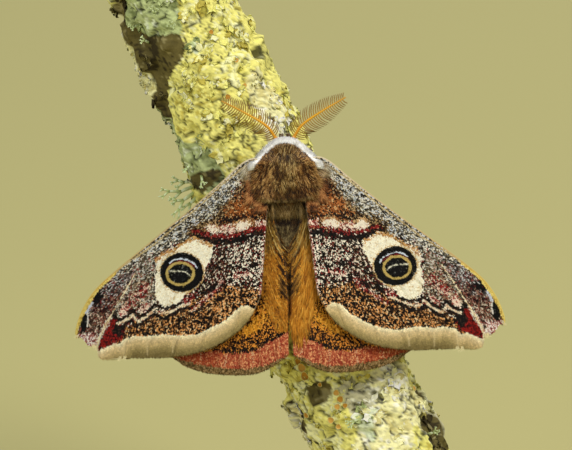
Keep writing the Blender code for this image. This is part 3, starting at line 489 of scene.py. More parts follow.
FLOOR_HALF = 3.0
FLOOR_TONES = (tone(186, 181, 122), tone(194, 187, 132))
LIGHT_AIM = Vector((0.0, 0.0, 0.045))
LIGHTS = (
    # name, place, size, power, colour
    ("key", (0.20, -0.26, 0.42), 0.26, 1.55, (1.0, 0.965, 0.89)),
    ("fill", (-0.45, -0.35, 0.25), 0.5, 0.9, (0.98, 0.98, 0.96)),
    ("rim", (0.1, 0.5, 0.5), 0.4, 1.2, (1.0, 0.99, 0.96)),
)
BACKDROP_COLOUR = (0.99, 0.985, 0.95, 1.0)
BACKDROP_STRENGTH = 0.42
NEAR_CLIP = 0.01


def make_camera():
    """The camera at the photograph's angle: straight above the moth's back."""
    lean = math.radians(LEAN_DEG)
    up = np.array((0.0, math.sin(lean), math.cos(lean)))
    back = np.array((0.0, -math.cos(lean), math.sin(lean)))
    lens = bpy.data.cameras.new("view")
    lens.sensor_width = SENSOR_WIDTH
    lens.lens = SENSOR_WIDTH * CAMERA_DISTANCE / (VIEW_WIDTH * PLATE_UNIT)
    lens.clip_start = NEAR_CLIP
    place = (MOTH_AT + (VIEW_MIDDLE[0] - PLATE_ORIGIN[0]) * PLATE_UNIT * np.array((1.0, 0.0, 0.0))
             + (PLATE_ORIGIN[1] - VIEW_MIDDLE[1]) * PLATE_UNIT * up + CAMERA_DISTANCE * back)
    camera = bpy.data.objects.new("view", lens)
    camera.location = place * MM
    camera.rotation_euler = (math.radians(90) - lean, 0.0, 0.0)
    bpy.context.collection.objects.link(camera)
    bpy.context.scene.camera = camera


def make_floor():
    """A plain pale floor that runs out of view on all sides."""
    mesh = bpy.data.meshes.new("floor")
    corners = [(x * FLOOR_HALF, y * FLOOR_HALF, 0) for x, y in ((-1, -1), (1, -1), (1, 1), (-1, 1))]
    mesh.from_pydata(corners, [], [(0, 1, 2, 3)])
    look, tree, shader = new_look("floor", roughness=0.9, specular=0.1)
    blend_tones(tree, shader, noise_height(tree, 2.0, detail=1.0), FLOOR_TONES)
    mesh.materials.append(look)
    floor = bpy.data.objects.new("floor", mesh)
    bpy.context.collection.objects.link(floor)


def make_light(name, place, size, power, colour):
    lamp = bpy.data.lights.new(name, "AREA")
    lamp.shape, lamp.size, lamp.energy, lamp.color = "DISK", size, power, colour
    light = bpy.data.objects.new(name, lamp)
    light.location = place
    aim = LIGHT_AIM - Vector(place)
    light.rotation_euler = aim.to_track_quat("-Z", "Y").to_euler()
    bpy.context.collection.objects.link(light)


def make_studio():
    make_camera()
    make_floor()
    for light in LIGHTS:
        make_light(*light)
    scene = bpy.context.scene
    scene.world = bpy.data.worlds.new("studio")
    scene.world.use_nodes = True
    backdrop = scene.world.node_tree.nodes["Background"]
    backdrop.inputs["Color"].default_value = BACKDROP_COLOUR
    backdrop.inputs["Strength"].default_value = BACKDROP_STRENGTH
    scene.view_settings.view_transform = "Standard"


# Wing and abdomen shapes

ABDOMEN_RINGS = 7
RING_GROOVE = 0.09
ROOT_DROP_FORE = ((2.4, 8.3), 1.7, 3.0)
ROOT_DROP_HIND = ((2.4, 6.6), 1.5, 2.4)
HIND_BELOW_FORE = 1.3


def abdomen_share(y):
    return (ABDOMEN_FRONT - y) / (ABDOMEN_FRONT - ABDOMEN_TIP)


def abdomen_axis(y):
    return -0.45 - 0.9 * abdomen_share(y)


def abdomen_radius(y, groove=None):
    """The abdomen's radius, with a groove between its rings, or smooth at a given height of the rings."""
    share = abdomen_share(y)
    swell = np.sqrt(np.clip(1 - (np.maximum(share - 0.3, 0) / 0.7) ** 2.2, 0, 1))
    rings = groove
    if groove is None:
        rings = RING_GROOVE * np.abs(np.sin(ABDOMEN_RINGS * np.pi * share)) ** 0.6
    return ABDOMEN_RADIUS * swell * (0.94 + rings * swell)


def roof(x, y):
    """The height of the wings' common slope, which falls away on both sides like a roof."""
    return 3.2 - 0.36 * (np.sqrt(x * x + 4) - 2) - 0.004 * x * x + 0.06 * y


def root_drop(x, y, centre, drop, reach):
    """How far a wing dips round its root, where it joins the body."""
    return drop * np.exp(-((x - centre[0]) ** 2 + (y - centre[1]) ** 2) / reach**2)


def forewing_height(x, y):
    return roof(x, y) - root_drop(x, y, *ROOT_DROP_FORE)


def hindwing_height(x, y):
    """The hindwing lies under the forewing, and clear of the abdomen where it reaches over that."""
    height = roof(x, y) - HIND_BELOW_FORE - root_drop(x, y, *ROOT_DROP_HIND)
    radius = abdomen_radius(y, groove=RING_GROOVE)
    above = (np.abs(x) < radius) & (y < ABDOMEN_FRONT) & (y > ABDOMEN_TIP)
    floor = abdomen_axis(y) + np.sqrt(np.maximum(radius**2 - x * x, 0)) + GAP + WING_HALF + 0.1
    return np.where(above, over(height, floor), height)


class Wing:
    """A wing stretched between its root and its front, outer and inner edges."""

    def __init__(self, costa, margin, inner, veins, height, middle=(0.5, 0.5), fold=(0.0, 0.0)):
        self.costa, self.margin, self.inner = Path(costa), Path(margin), Path(inner)
        self.veins, self.height, self.middle, self.fold = veins, height, middle, fold

    def plan(self, u, v):
        """u runs across the wing from its front edge, v along it from its root."""
        across, share = self.middle
        rim_share = np.where(u < across, u / across * share,
                             share + (u - across) / (1 - across) * (1 - share))
        u_, v_ = u[..., None], v[..., None]
        root = self.costa.at(0.0) * (1 - u_) + self.inner.at(0.0) * u_
        tip = self.costa.at(1.0) * (1 - u_) + self.inner.at(1.0) * u_
        sides = self.costa.at(v) * (1 - u_) + self.inner.at(v) * u_
        rim = self.margin.at(rim_share)
        return root * (1 - v_) + rim * v_ + sides - (root * (1 - v_) + tip * v_)

    def ridge(self, u, v):
        """How far the veins stand out of the wing."""
        chord = np.linalg.norm(self.costa.at(v) - self.inner.at(v), axis=-1)
        foot = np.minimum(VEIN_HALF_WIDTH / np.maximum(chord, 0.01), 0.026)
        rise = np.zeros(u.shape)
        for place, start in self.veins:
            tent = np.maximum(0, 1 - np.abs(u - place) / foot)
            rise = np.maximum(rise, VEIN_RISE * tent * ease(start, start + 0.12, v))
        return rise

    def face(self, u, v, side, top=True, lift=0.0):
        """Places on the wing's upper or lower face."""
        place = self.plan(u, v)
        fold = self.fold[0] + (self.fold[1] - self.fold[0]) * ease(0.15, 0.9, v)
        drop = fold * np.maximum(0, 1 - u / self.middle[0]) * ease(0.0, 0.2, v)
        ridge = self.ridge(u, v)
        depth = WING_HALF + ridge + lift if top else -WING_HALF - 0.6 * ridge - lift
        z = self.height(place[..., 0], place[..., 1]) - drop + depth
        return np.stack((side * place[..., 0], place[..., 1], z), axis=-1)

    def axes(self, u, v, side, top=True):
        """Places, outward normals, and the way from root to rim."""
        step = 0.004
        centre = self.face(u, v, side, top)
        ahead = self.face(u, np.minimum(v + step, 1.0), side, top)
        toward = ahead - self.face(u, np.maximum(v - step, 0), side, top)
        beside = self.face(np.minimum(u + step, 1), v, side, top)
        across = beside - self.face(np.maximum(u - step, 0), v, side, top)
        normal = unit(np.cross(toward, across))
        normal = normal * np.sign(normal[..., 2:] + 1e-9) * (1 if top else -1)
        return centre, normal, unit(toward)


FOREWING = Wing(FORE_COSTA, FORE_MARGIN, FORE_INNER, FORE_VEINS, forewing_height, (0.12, 0.182), (0.5, 1.5))
HINDWING = Wing(HIND_COSTA, HIND_MARGIN, HIND_INNER, HIND_VEINS, hindwing_height)

# Markings: tones and palettes
SOOT = shades((0.75, 16, 11, 8), (0.25, 58, 38, 26))
BLACK = tone(6, 6, 6)
CRIMSON = shades((0.38, 42, 8, 6), (0.5, 136, 26, 26), (0.12, 176, 84, 68))
RUST = shades((0.26, 52, 26, 8), (0.42, 142, 80, 34), (0.22, 192, 118, 58), (0.1, 214, 176, 122))
UMBER = shades((0.42, 40, 26, 14), (0.3, 112, 84, 50), (0.28, 184, 156, 112))
SALT = shades((0.36, 38, 32, 26), (0.24, 122, 112, 88), (0.24, 232, 226, 208), (0.16, 196, 202, 208))
GREY_SALT = shades((0.38, 46, 38, 28), (0.32, 132, 118, 94), (0.24, 208, 206, 194), (0.06, 150, 60, 48))
MEDIAN = shades((0.48, 16, 9, 4), (0.1, 98, 66, 44), (0.1, 140, 50, 46), (0.32, 246, 238, 220))
MEDIAN_DARK = shades((0.6, 20, 11, 6), (0.14, 108, 40, 34), (0.1, 120, 88, 62), (0.16, 228, 214, 194))
STREAKED = shades((0.54, 12, 7, 4), (0.14, 92, 58, 30), (0.24, 218, 152, 86), (0.08, 238, 206, 156))
ROSY = shades((0.3, 52, 30, 20), (0.2, 140, 52, 46), (0.25, 160, 128, 98), (0.25, 226, 208, 178))
BLOB = shades((0.1, 190, 120, 96), (0.9, 244, 234, 216))
BLOB_TAN = shades((0.3, 150, 96, 56), (0.7, 206, 170, 120))
PINK_WHITE = shades((0.2, 96, 44, 36), (0.25, 176, 80, 72), (0.55, 240, 218, 200))
RED_SPECKLE = shades((0.35, 60, 18, 16), (0.4, 158, 44, 44), (0.25, 232, 204, 184))
STEEL = shades((0.42, 42, 34, 32), (0.28, 122, 110, 102), (0.18, 200, 200, 200), (0.12, 132, 62, 58))
WINE = shades((0.55, 24, 10, 10), (0.25, 104, 26, 28), (0.2, 160, 128, 106))
APEX_PINK = shades((0.44, 40, 22, 14), (0.2, 112, 84, 62), (0.2, 152, 86, 72), (0.16, 220, 204, 182))
TRIANGLE = shades((0.2, 34, 6, 5), (0.3, 92, 10, 8), (0.5, 150, 26, 20))
CREAM_PATCH = shades((0.04, 220, 196, 150), (0.36, 244, 236, 210), (0.6, 254, 250, 232))
# The outer band's tones by distance from its inner edge: the darkening towards the wing's edge is partly the
# band's own colour and partly painted shade where the band curves down.
BAND_TONES = [(0.0, tone(252, 244, 212)), (2.0, tone(244, 230, 188)), (4.5, tone(226, 204, 156)),
              (9.0, tone(206, 182, 128)), (13.5, tone(162, 144, 92)), (19.0, tone(128, 112, 66))]
EDGE_TONES = [tone(216, 204, 176), tone(200, 180, 136), tone(196, 170, 112), tone(206, 174, 84),
              tone(228, 208, 116)]
TAN_FRINGE = shades((0.35, 158, 108, 58), (0.65, 212, 166, 104))
PUPIL = shades((0.85, 6, 6, 6), (0.12, 50, 52, 50), (0.03, 120, 122, 116))
ZIGZAG_PALE = shades((0.3, 214, 176, 140), (0.7, 240, 226, 196))
WING_BASE_TONES = shades((0.3, 150, 130, 96), (0.7, 236, 230, 214))
COSTA_PALE = shades((0.35, 168, 144, 98), (0.65, 206, 188, 142))
COSTA_YELLOW = shades((0.35, 198, 164, 72), (0.65, 232, 210, 118))
APEX_RIM_TONES = shades((0.25, 190, 120, 104), (0.75, 236, 230, 214))
APEX_END_TONES = shades((0.34, 140, 58, 60), (0.24, 200, 150, 136), (0.42, 246, 236, 230))
FOLD_PALE = shades((0.3, 206, 176, 130), (0.7, 242, 230, 194))
DISC_HALO = tone(205, 170, 110)
DISC_RIM_TAN = tone(206, 176, 128)
ARC_WHITE, ARC_RED = tone(214, 222, 236), tone(112, 20, 34)
RING_OCHRE = tone(196, 172, 100)
CRESCENT_GREY, CRESCENT_PALE = tone(104, 104, 92), tone(226, 224, 204)
APEX_BLUE_TONE, APEX_STREAK_TONE = tone(206, 212, 224), tone(226, 222, 214)
VEIN_TAN = tone(226, 206, 156)

# Markings: outlines and lines of the forewing on the plate
RUST_ZONE = [(300, 150), (316, 158), (345, 193), (372, 219), (378, 226), (345, 231), (308, 226)]
RUST_DARK = [(308, 213), (330, 211), (352, 212), (367, 217), (366, 221), (350, 219), (330, 218), (308, 219)]
COSTAL_STRIP = [(312, 150), (324, 168), (343, 195), (372, 222), (390, 233), (414, 241), (440, 254),
                (462, 272), (482, 292), (510, 330), (530, 300), (400, 190), (320, 140)]
MIDFIELD = [(408, 240), (440, 254), (470, 282), (468, 306), (445, 303), (422, 290), (424, 262)]
MIDFIELD_RED = [(424, 272), (440, 270), (456, 288), (462, 302), (446, 300), (428, 288)]
RUST_INNER = [(300, 184), (326, 184), (342, 200), (350, 214), (335, 222), (306, 222)]
LOWER_FIELD = [(316, 286), (352, 280), (378, 292), (400, 300), (425, 306), (445, 313), (466, 320),
               (474, 336), (440, 335), (395, 338), (330, 312), (314, 300)]
BLOB_INNER = [(308.5, 219), (318, 218.5), (319, 224), (309, 225)]
BLOB_SPECKLE = [(338, 221), (354, 221), (354, 231), (338, 230)]
CRIMSON_BAND = [(306, 225), (320, 226), (334, 229.6), (345, 231.6), (359, 231), (371, 228), (380, 224.6)]
BLACK_BAND = [(307, 229.4), (320.6, 231.4), (334, 235), (345, 237.4), (359, 236), (371, 233), (381, 228.6)]
DARK_BY_DISC = [(350, 240), (362, 244), (368, 258), (375, 272), (385, 284), (376, 290), (360, 284),
                (346, 268)]
INNER_EDGE = [(309, 232), (311, 246), (313, 262), (315, 278), (317, 292)]
CREAM_FIELD = [(361.5, 240), (378, 231), (391, 235), (400, 242), (414, 247), (419.5, 252.6), (421, 267),
               (422.2, 278), (423, 284), (422.2, 291.6), (414.8, 298.6), (407, 298), (398.7, 295),
               (392.6, 288.3), (384, 281), (374, 270), (367.3, 257), (362, 247)]
CREAM_RIM_TOP = [(364, 241), (378, 232.5), (391, 236), (402, 243), (414, 248), (419.5, 254)]
DISC_RIM_LOW = [(373, 264), (376.5, 271.5), (384, 281.5), (391.8, 287.2)]
DISC_AT, DISC_RADII = (395.0, 265.6), (21.4, 19.6)
RING_AT, RING_RADII = (396.6, 267.0), (14.7, 12.2)
DISC_ARC = [(379.3, 262), (382.3, 257.4), (387.8, 253.8), (396, 251.6), (402.8, 253), (406.6, 256)]
DISC_ARC_RED = [(381.6, 260.6), (387.7, 256.2), (396, 254.1), (404.2, 256.4), (408.5, 260)]
DISC_CRESCENT = [(387.1, 269.3), (389.8, 266.5), (393.2, 264.9), (398.7, 264.1), (407.6, 263.8)]
WAVE_BLACK_1 = [(316.8, 260), (330.6, 266), (341, 262), (352, 264)]
WAVE_RED = [(329, 268.5), (338, 269), (343, 271)]
WAVE_PINK = [(329, 271), (336, 272), (344, 274)]
WAVE_BLACK_2 = [(318, 276), (326, 280), (341, 281), (350, 276)]
SLANT_RED = [(353.6, 278), (358, 285), (365, 289), (371, 293), (378.8, 297), (388, 302)]
SLANT_PINK = [(356, 277), (361, 286), (370, 291), (380, 299), (386.5, 304)]
SLANT_BLACK_1 = [(361, 281), (369, 286), (377, 287), (383, 290)]
SLANT_BLACK_2 = [(352, 290), (367, 299), (384, 306.6), (392, 308)]
DISC_FOOT = [(384, 287), (392, 289), (398, 296), (390, 297), (384, 293)]
ZIGZAG_BLACK_1 = [(388, 292), (400, 296.2), (404.6, 298.5), (411.5, 300.4), (416.8, 299.6), (423, 296.2),
                  (428.3, 300.8), (433.7, 305.4), (439.8, 307.7), (443.6, 303.9), (445.9, 300.8),
                  (452, 305.4), (458.2, 309.2), (463.5, 310.8)]
ZIGZAG_CREAM = [(390, 297), (401.5, 300.8), (407.7, 303.9), (415.3, 305.4), (420.7, 304.4), (424, 300.2),
                (427.5, 303.9), (433.7, 308.5), (441.3, 312.3), (444.4, 308.5), (446.5, 305.4),
                (450.5, 308.5), (458.2, 312.3), (465, 314.6)]
ZIGZAG_BLACK_2 = [(392, 301), (400, 302.8), (407.7, 307.7), (417.6, 310.3), (422.6, 306.2), (426.8, 305.4),
                  (432.2, 310), (439, 314.8), (444.6, 315.6), (448, 310.4), (452, 312.2), (457.4, 316.1)]
PINK_PATCH = [(449, 297), (456, 295), (461, 301), (460, 308), (452, 304)]
PINK_TEETH = [(427, 293), (434, 296), (441, 300), (438, 304), (431, 301)]
RED_PATCH = [(432, 272), (444, 282), (453, 292), (446, 297), (436, 290), (428, 280)]
WEDGE = [(461, 297), (467, 304), (467.5, 311), (462, 309)]
BLOTCH = [(455, 314), (465.8, 313.6), (468, 322), (462, 326), (456.6, 324)]
TRIANGLE_FIELD = [(464.5, 307.5), (471, 311), (483, 333), (483.5, 340), (470, 334), (458.2, 329.5),
                  (454.5, 319), (462, 318)]
FOLD_LINE = [(441.3, 264.8), (451, 279), (461.2, 294.7), (468.9, 306.2), (476.5, 318.4), (481, 326.8),
             (483.4, 333.7), (483.4, 344.4)]
APEX_FIELD = [(441, 262), (461, 292), (484, 332), (485, 346), (506, 334), (512, 318), (486, 280),
              (462, 268)]
APEX_UPPER = [(441, 262), (462, 266), (486, 282), (498, 297), (486, 299), (470, 294), (458, 284)]
APEX_DARK = [(461, 284), (472, 283), (484, 288), (490, 300), (484, 304), (472, 302), (464, 294)]
APEX_BLUE = [(486.5, 291.5), (490.5, 297.5), (494, 305)]
APEX_OVAL_STREAK = [(491.8, 302), (491.2, 308), (492.6, 314)]
APEX_WHITE = [(470, 309), (476, 318), (483, 329), (488, 334)]
APEX_END = [(485, 320), (494, 322), (503, 321), (503, 331), (492, 336), (486, 334)]
BAND_TOP = [(331, 302), (338.3, 302.4), (342, 305.3), (349.4, 312.5), (360.4, 318.8), (372, 324.1),
            (382.7, 327.7), (396, 329), (410, 327.3), (413.8, 326), (433.7, 327.6), (445.1, 326),
            (456.6, 329.1), (461.2, 333.7), (466.6, 332.2), (472.7, 335.2), (483, 339.5)]
BAND_FOOT = [(490, 346), (478, 352), (440, 356), (390, 357), (370, 352), (352, 344), (338, 334),
             (325.5, 318), (325.5, 306)]
COSTA_LINE_PALE = [(318, 158), (345, 177), (380, 206), (420, 236), (455, 258), (474, 274)]
COSTA_LINE_YELLOW = [(462, 263), (480, 278), (492, 294), (500, 308), (506, 324), (504.8, 327.6)]
WING_BASE_PALE = [(313, 158), (324, 168), (334, 178)]
WING_BASE_DARK = [(316, 170), (327, 182), (338, 196)]
FAN_FROM = (300.0, 172.0)
SPECKLE = 1.08
EYESPOT_REACH = 23.0
FORE_OUTLINE = FORE_COSTA + FORE_MARGIN[1:] + FORE_INNER[-2::-1]
UNDER_FOREWING = 1.2
FRAYS_ON_PLATE = ((457.0, 0.7), (461.5, 0.8), (484.5, 0.9), (487.0, 0.8), (503.0, 0.6))
FRAYS_EACH = 9
FRAY_TONE = tone(232, 220, 172)
FORE_VEIN_TONES = [((434, 330), (434, 346)), ((456, 333), (458, 346)), ((407, 330), (409, 345))]


def streaks(x, y, seed):
    """A pick from 0 to 1 for each place, clumped in short streaks that fan from the wing's root."""
    dx, dy = x - FAN_FROM[0], y - FAN_FROM[1]
    radius, angle = np.hypot(dx, dy) + 1e-6, np.arctan2(dy, dx)
    band = 60 * np.exp2(np.round(np.log2(radius / 60)))
    clump = grain(angle * band / 1.3, radius / 2.2, seed=seed)
    broad = grain(x / 5.0, y / 5.0, seed=seed + 5)
    jitter_x = 0.5 * (dice(len(x), seed + 9) - 0.5)
    jitter_y = 0.5 * (dice(len(x), seed + 10) - 0.5)
    row = np.floor((y * 0.83 - x * 0.56) / SPECKLE + jitter_y)
    column = np.floor((x * 0.83 + y * 0.56) / SPECKLE + 0.5 * (row % 2) + jitter_x)
    return ranked(0.45 * clump + 0.16 * broad + 0.9 * hashed([row, column], seed + 11))


def paint_eyespot(paint):
    """The forewing's eyespot: a black disc with an arc at its root side, a ring, and a crescent inside."""
    halo = (DISC_RADII[0] + 1.6, DISC_RADII[1] + 1.5)
    pupil = (RING_RADII[0] - 4.0, RING_RADII[1] - 3.9)
    paint.oval(DISC_AT, halo, DISC_HALO, ragged=0.3, strength=0.55)
    paint.crisp = True
    paint.oval(DISC_AT, DISC_RADII, BLACK, ragged=0.5)
    paint.stroke(DISC_ARC_RED, 1.5, ARC_RED, ragged=0.5)
    paint.stroke(DISC_ARC, 1.3, ARC_WHITE, ragged=0.7)
    paint.oval(RING_AT, RING_RADII, RING_OCHRE, ragged=0.5, hollow=2.4)
    paint.crisp = False
    paint.oval(RING_AT, pupil, PUPIL, soft=0.8)
    paint.stroke(DISC_CRESCENT, 1.9, CRESCENT_GREY, soft=0.6, strength=0.7)
    paint.crisp = True
    paint.stroke(DISC_CRESCENT, 0.9, CRESCENT_PALE, ragged=0.6)
    paint.crisp = False


def paint_forewing(x, y, seed):
    """The forewing's colours at places of the plate."""
    paint = Paint(x, y, streaks(x, y, seed), seed + 20)
    paint.lay(MEDIAN, np.ones(len(x)))
    paint.area(MIDFIELD, GREY_SALT, soft=5, ragged=3)
    paint.area(MIDFIELD_RED, ROSY, soft=6, ragged=3, strength=0.5)
    paint.area(LOWER_FIELD, STREAKED, soft=4, ragged=3)
    paint.area(RUST_ZONE, UMBER, soft=3, ragged=2)
    paint.area(RUST_INNER, RUST, soft=7, ragged=2)
    paint.area(COSTAL_STRIP, SALT, soft=3, ragged=2)
    paint.oval((375, 225), (15, 9), UMBER, tilt_deg=35, soft=4, strength=0.9)
    paint.area(RUST_DARK, SOOT, soft=2.5, ragged=1.5, strength=0.7)
    paint.area(DARK_BY_DISC, MEDIAN_DARK, soft=4, ragged=2.5, strength=0.9)
    paint.stroke(WING_BASE_DARK, 3, SOOT, soft=1.5, ragged=1.5, strength=0.6)
    paint.area(BLOB_SPECKLE, PINK_WHITE, soft=2, ragged=2, strength=0.9)
    paint.area(BLOB_INNER, PINK_WHITE, soft=1.5, ragged=1)
    paint.oval((331, 221), (9.5, 6), BLOB_TAN, tilt_deg=8, soft=1.6, ragged=1.2, strength=0.8)
    paint.oval((361, 222.5), (8.0, 5.6), BLOB_TAN, tilt_deg=-12, soft=1.6, ragged=1.2, strength=0.8)
    paint.oval((331, 223), (8.0, 4.6), BLOB, tilt_deg=10, soft=1.4, ragged=1.2)
    paint.oval((361, 224.4), (6.6, 4.4), BLOB, tilt_deg=-14, soft=1.4, ragged=1.2)
    paint.stroke(BLACK_BAND, 6.4, SOOT, soft=2.2, ragged=1.8)
    paint.stroke(CRIMSON_BAND, 3.8, CRIMSON, soft=1.9, ragged=1.2)
    paint.stroke(INNER_EDGE, 4.0, PINK_WHITE, soft=1.8, strength=0.7)
    paint.stroke(INNER_EDGE, 2.6, RED_SPECKLE, soft=1.2, strength=0.75)
    paint.stroke(WAVE_BLACK_1, 3, SOOT, soft=1.2, ragged=1.6, strength=0.85)
    paint.stroke(WAVE_RED, 2.4, CRIMSON, soft=1.2, ragged=1, strength=0.8)
    paint.stroke(WAVE_PINK, 2.4, PINK_WHITE, soft=1.2, ragged=1)
    paint.stroke(WAVE_BLACK_2, 3, SOOT, soft=1.2, ragged=1.6, strength=0.85)
    paint.stroke(SLANT_PINK, 3.0, PINK_WHITE, soft=1.6, ragged=1.4, strength=0.8)
    paint.stroke(SLANT_RED, 2.2, CRIMSON, soft=1.4, ragged=1.4, strength=0.75)
    paint.stroke(SLANT_BLACK_1, 2.8, SOOT, soft=0.9, ragged=1.2, strength=0.9)
    paint.stroke(SLANT_BLACK_2, 3.0, SOOT, soft=1.0, ragged=1.4, strength=0.9)
    paint.area(PINK_TEETH, PINK_WHITE, soft=1.5, ragged=1.5)
    paint.area(RED_PATCH, RED_SPECKLE, soft=2.5, ragged=2, strength=0.7)
    paint.crisp = True
    paint.stroke(ZIGZAG_BLACK_1, 3.0, SOOT, ragged=1.6)
    paint.stroke(ZIGZAG_BLACK_2, 3.2, SOOT, ragged=1.8)
    paint.stroke(ZIGZAG_CREAM, 2.1, ZIGZAG_PALE, ragged=1.2)
    paint.area(CREAM_FIELD, CREAM_PATCH, ragged=1.6)
    paint.crisp = False
    paint.stroke(CREAM_RIM_TOP, 3.4, TAN_FRINGE, soft=1.0, ragged=1.6, strength=0.85)
    paint.area(DISC_FOOT, RED_SPECKLE, soft=1.2, ragged=1.2, strength=0.8)
    paint.stroke(DISC_RIM_LOW, 2.0, DISC_RIM_TAN, soft=0.6, strength=0.9)
    paint_eyespot(paint)
    paint_apex(paint)
    paint_band(paint)
    paint.stroke(WING_BASE_PALE, 4.5, WING_BASE_TONES, soft=2, ragged=2, strength=0.8)
    paint.crisp = True
    paint.stroke(COSTA_LINE_PALE, 1.5, COSTA_PALE, ragged=0.5)
    paint.stroke(COSTA_LINE_YELLOW, 3.6, COSTA_YELLOW, ragged=0.6)
    return paint.colour


def paint_apex(paint):
    """The wing's tip, beyond the pale fold line."""
    paint.area(PINK_PATCH, PINK_WHITE, soft=1.0, ragged=1.2)
    paint.area(WEDGE, SOOT, soft=0.8, ragged=0.8)
    paint.area(TRIANGLE_FIELD, TRIANGLE, soft=0.7, ragged=0.8)
    paint.area(BLOTCH, SOOT, soft=1.8, ragged=1.4)
    paint.area(APEX_FIELD, APEX_PINK, soft=1.0, ragged=0.8)
    paint.area(APEX_UPPER, STEEL, soft=3, ragged=2.5, strength=0.9)
    paint.area(APEX_DARK, WINE, soft=3, ragged=2.5, strength=0.7)
    paint.oval((481, 286), (7, 5), BLACK, tilt_deg=40, soft=2, ragged=1.5, strength=0.9)
    paint.stroke(APEX_BLUE, 2.6, APEX_BLUE_TONE, soft=0.9, ragged=0.8)
    paint.stroke(APEX_WHITE, 4.0, APEX_RIM_TONES, soft=1.2, ragged=1.2)
    paint.area(APEX_END, APEX_END_TONES, soft=1.5, ragged=1.5)
    paint.crisp = True
    paint.oval((495.4, 310.8), (9.0, 3.9), BLACK, tilt_deg=80, ragged=0.8)
    paint.stroke(APEX_OVAL_STREAK, 1.6, APEX_STREAK_TONE, ragged=0.7)
    paint.stroke(FOLD_LINE[:4], 0.9, FOLD_PALE, ragged=0.5)
    paint.stroke(FOLD_LINE[3:], 1.7, FOLD_PALE, ragged=0.5)
    paint.crisp = False


def paint_band(paint):
    """The outer band: cream along its inner edge, then tan, then olive brown at the wing's edge; the
    darkening is partly the band's own colour and partly painted shade where the band curves down.
    """
    outline = BAND_TOP + BAND_FOOT
    from_top = line_distance(paint.x, paint.y, BAND_TOP)
    depths = [depth for depth, _ in BAND_TONES]
    tones = [np.interp(from_top, depths, [colour[part] for _, colour in BAND_TONES]) for part in range(3)]
    shade = 0.81 + 0.28 * paint.pick + 0.12 * paint.ragged
    paint.crisp = True
    paint.lay(np.stack(tones, axis=-1) * shade[:, None],
              paint.edge(depth_inside(paint.x, paint.y, outline), 0.6, 1.0))
    paint.crisp = False
    for line in FORE_VEIN_TONES:
        paint.wash(VEIN_TAN, 0.5 * (1 - ease(0.3, 1.3, line_distance(paint.x, paint.y, line))))


# Markings: the hindwing
ORANGE = shades((0.2, 160, 96, 18), (0.45, 220, 150, 40), (0.35, 244, 180, 66))
ORANGE_DARK = shades((0.47, 32, 15, 4), (0.15, 130, 76, 26), (0.38, 226, 152, 54))
HIND_SPECKLE = shades((0.48, 18, 9, 4), (0.14, 104, 62, 28), (0.38, 220, 142, 54))
HIND_PINK = shades((0.25, 146, 54, 36), (0.5, 188, 98, 66), (0.25, 222, 158, 108))
HIND_RED = shades((0.4, 140, 54, 26), (0.6, 178, 84, 46))
HIND_FRINGE = shades((0.3, 84, 66, 34), (0.4, 126, 100, 58), (0.3, 160, 132, 88))
UNDER_TAN = shades((0.3, 120, 96, 72), (0.4, 168, 144, 112), (0.3, 206, 190, 162))
UNDER_SHARE = 0.55
HIND_VEIN_TAN = tone(214, 168, 128)
HIND_STRIP = [(302, 296), (316, 309), (332, 322), (344, 330), (332, 332), (312, 322), (300, 312)]
HIND_HAZE = [(296, 306), (306, 303), (318, 316), (322, 324), (306, 326), (296, 320)]
HIND_MIDDLE = [(292, 322), (306, 326), (322, 328), (344, 336), (370, 344), (384, 350), (336, 350),
               (318, 343), (300, 336), (292, 330)]
HIND_BORDER = [(300, 333), (309.5, 337.5), (318, 340.5), (327, 346.5), (337, 347.6), (351, 348),
               (366, 344.5)]
PINK_TOP = [(293.4, 330.4), (300.5, 334.8), (309.5, 339.3), (317.5, 342), (326.4, 348.4), (335, 349.6),
            (351, 350), (360, 347.3), (366, 345.5), (378, 346.5), (410, 346)]
PINK_FOOT = [(410, 372), (300, 376), (284, 360), (288, 336)]
FRINGE_LINE = [(286, 348), (295, 353.7), (307, 359), (320, 363.5), (333.6, 365.6), (351, 364.6),
               (369, 361.4), (387, 357.6), (405, 351.6), (412, 348)]
FRINGE_FOOT = [(412, 372), (340, 380), (284, 366)]
HIND_VEIN_TONES = [((329, 350), (329.6, 366)), ((356, 351), (357.7, 363)), ((302, 340), (301.4, 352)),
                   ((380, 348), (383, 357))]


def paint_hindwing(x, y, seed):
    """The hindwing's colours at places of the plate."""
    paint = Paint(x, y, streaks(x, y, seed), seed + 20)
    paint.lay(ORANGE_DARK, np.ones(len(x)))
    paint.area(HIND_MIDDLE, HIND_SPECKLE, soft=3, ragged=3)
    paint.area(HIND_STRIP, ORANGE, soft=2.5, ragged=2.5)
    paint.area(HIND_HAZE, HIND_SPECKLE, soft=3, ragged=3, strength=0.6)
    paint.stroke(HIND_BORDER, 3.6, SOOT, soft=1.5, ragged=1.6, strength=0.85)
    paint.area(PINK_TOP + PINK_FOOT, HIND_PINK, soft=1.0, ragged=1.3)
    redder = ease(345, 385, x) * paint.edge(depth_inside(x, y, PINK_TOP + PINK_FOOT), 1.0, 1.0)
    paint.lay(HIND_RED, 0.7 * redder)
    paint.area(FRINGE_LINE + FRINGE_FOOT, HIND_FRINGE, soft=1.0, ragged=1.0)
    for start, end in HIND_VEIN_TONES:
        paint.stroke([start, end], 1.3, HIND_VEIN_TAN, soft=0.8, strength=0.5)
    return paint.colour


def paint_underside(x, y, colours, seed):
    """The lower face: the same markings, paler and greyer."""
    pale = choose(UNDER_TAN, streaks(x, y, seed + 3))
    return (1 - UNDER_SHARE) * colours + UNDER_SHARE * pale


# Wings

WING_ACROSS = 23
WING_ALONG = 28
ROWS_REACH = 27.0
MARGIN_REACH = 30
SHEET_CELL = 0.4
SCALE_ALONG, SCALE_ACROSS = ((0.132, 0.094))
FRINGE_GAP = 0.03
EYESPOT_FINER = 0.75
UNDERSIDE_COARSER = 2.1
FRINGE_WIDTHS = (0.07, 0.12)
FRINGE_LENGTHS = (0.2, 0.46)
LOWER_FACE_SPOT = 0.49


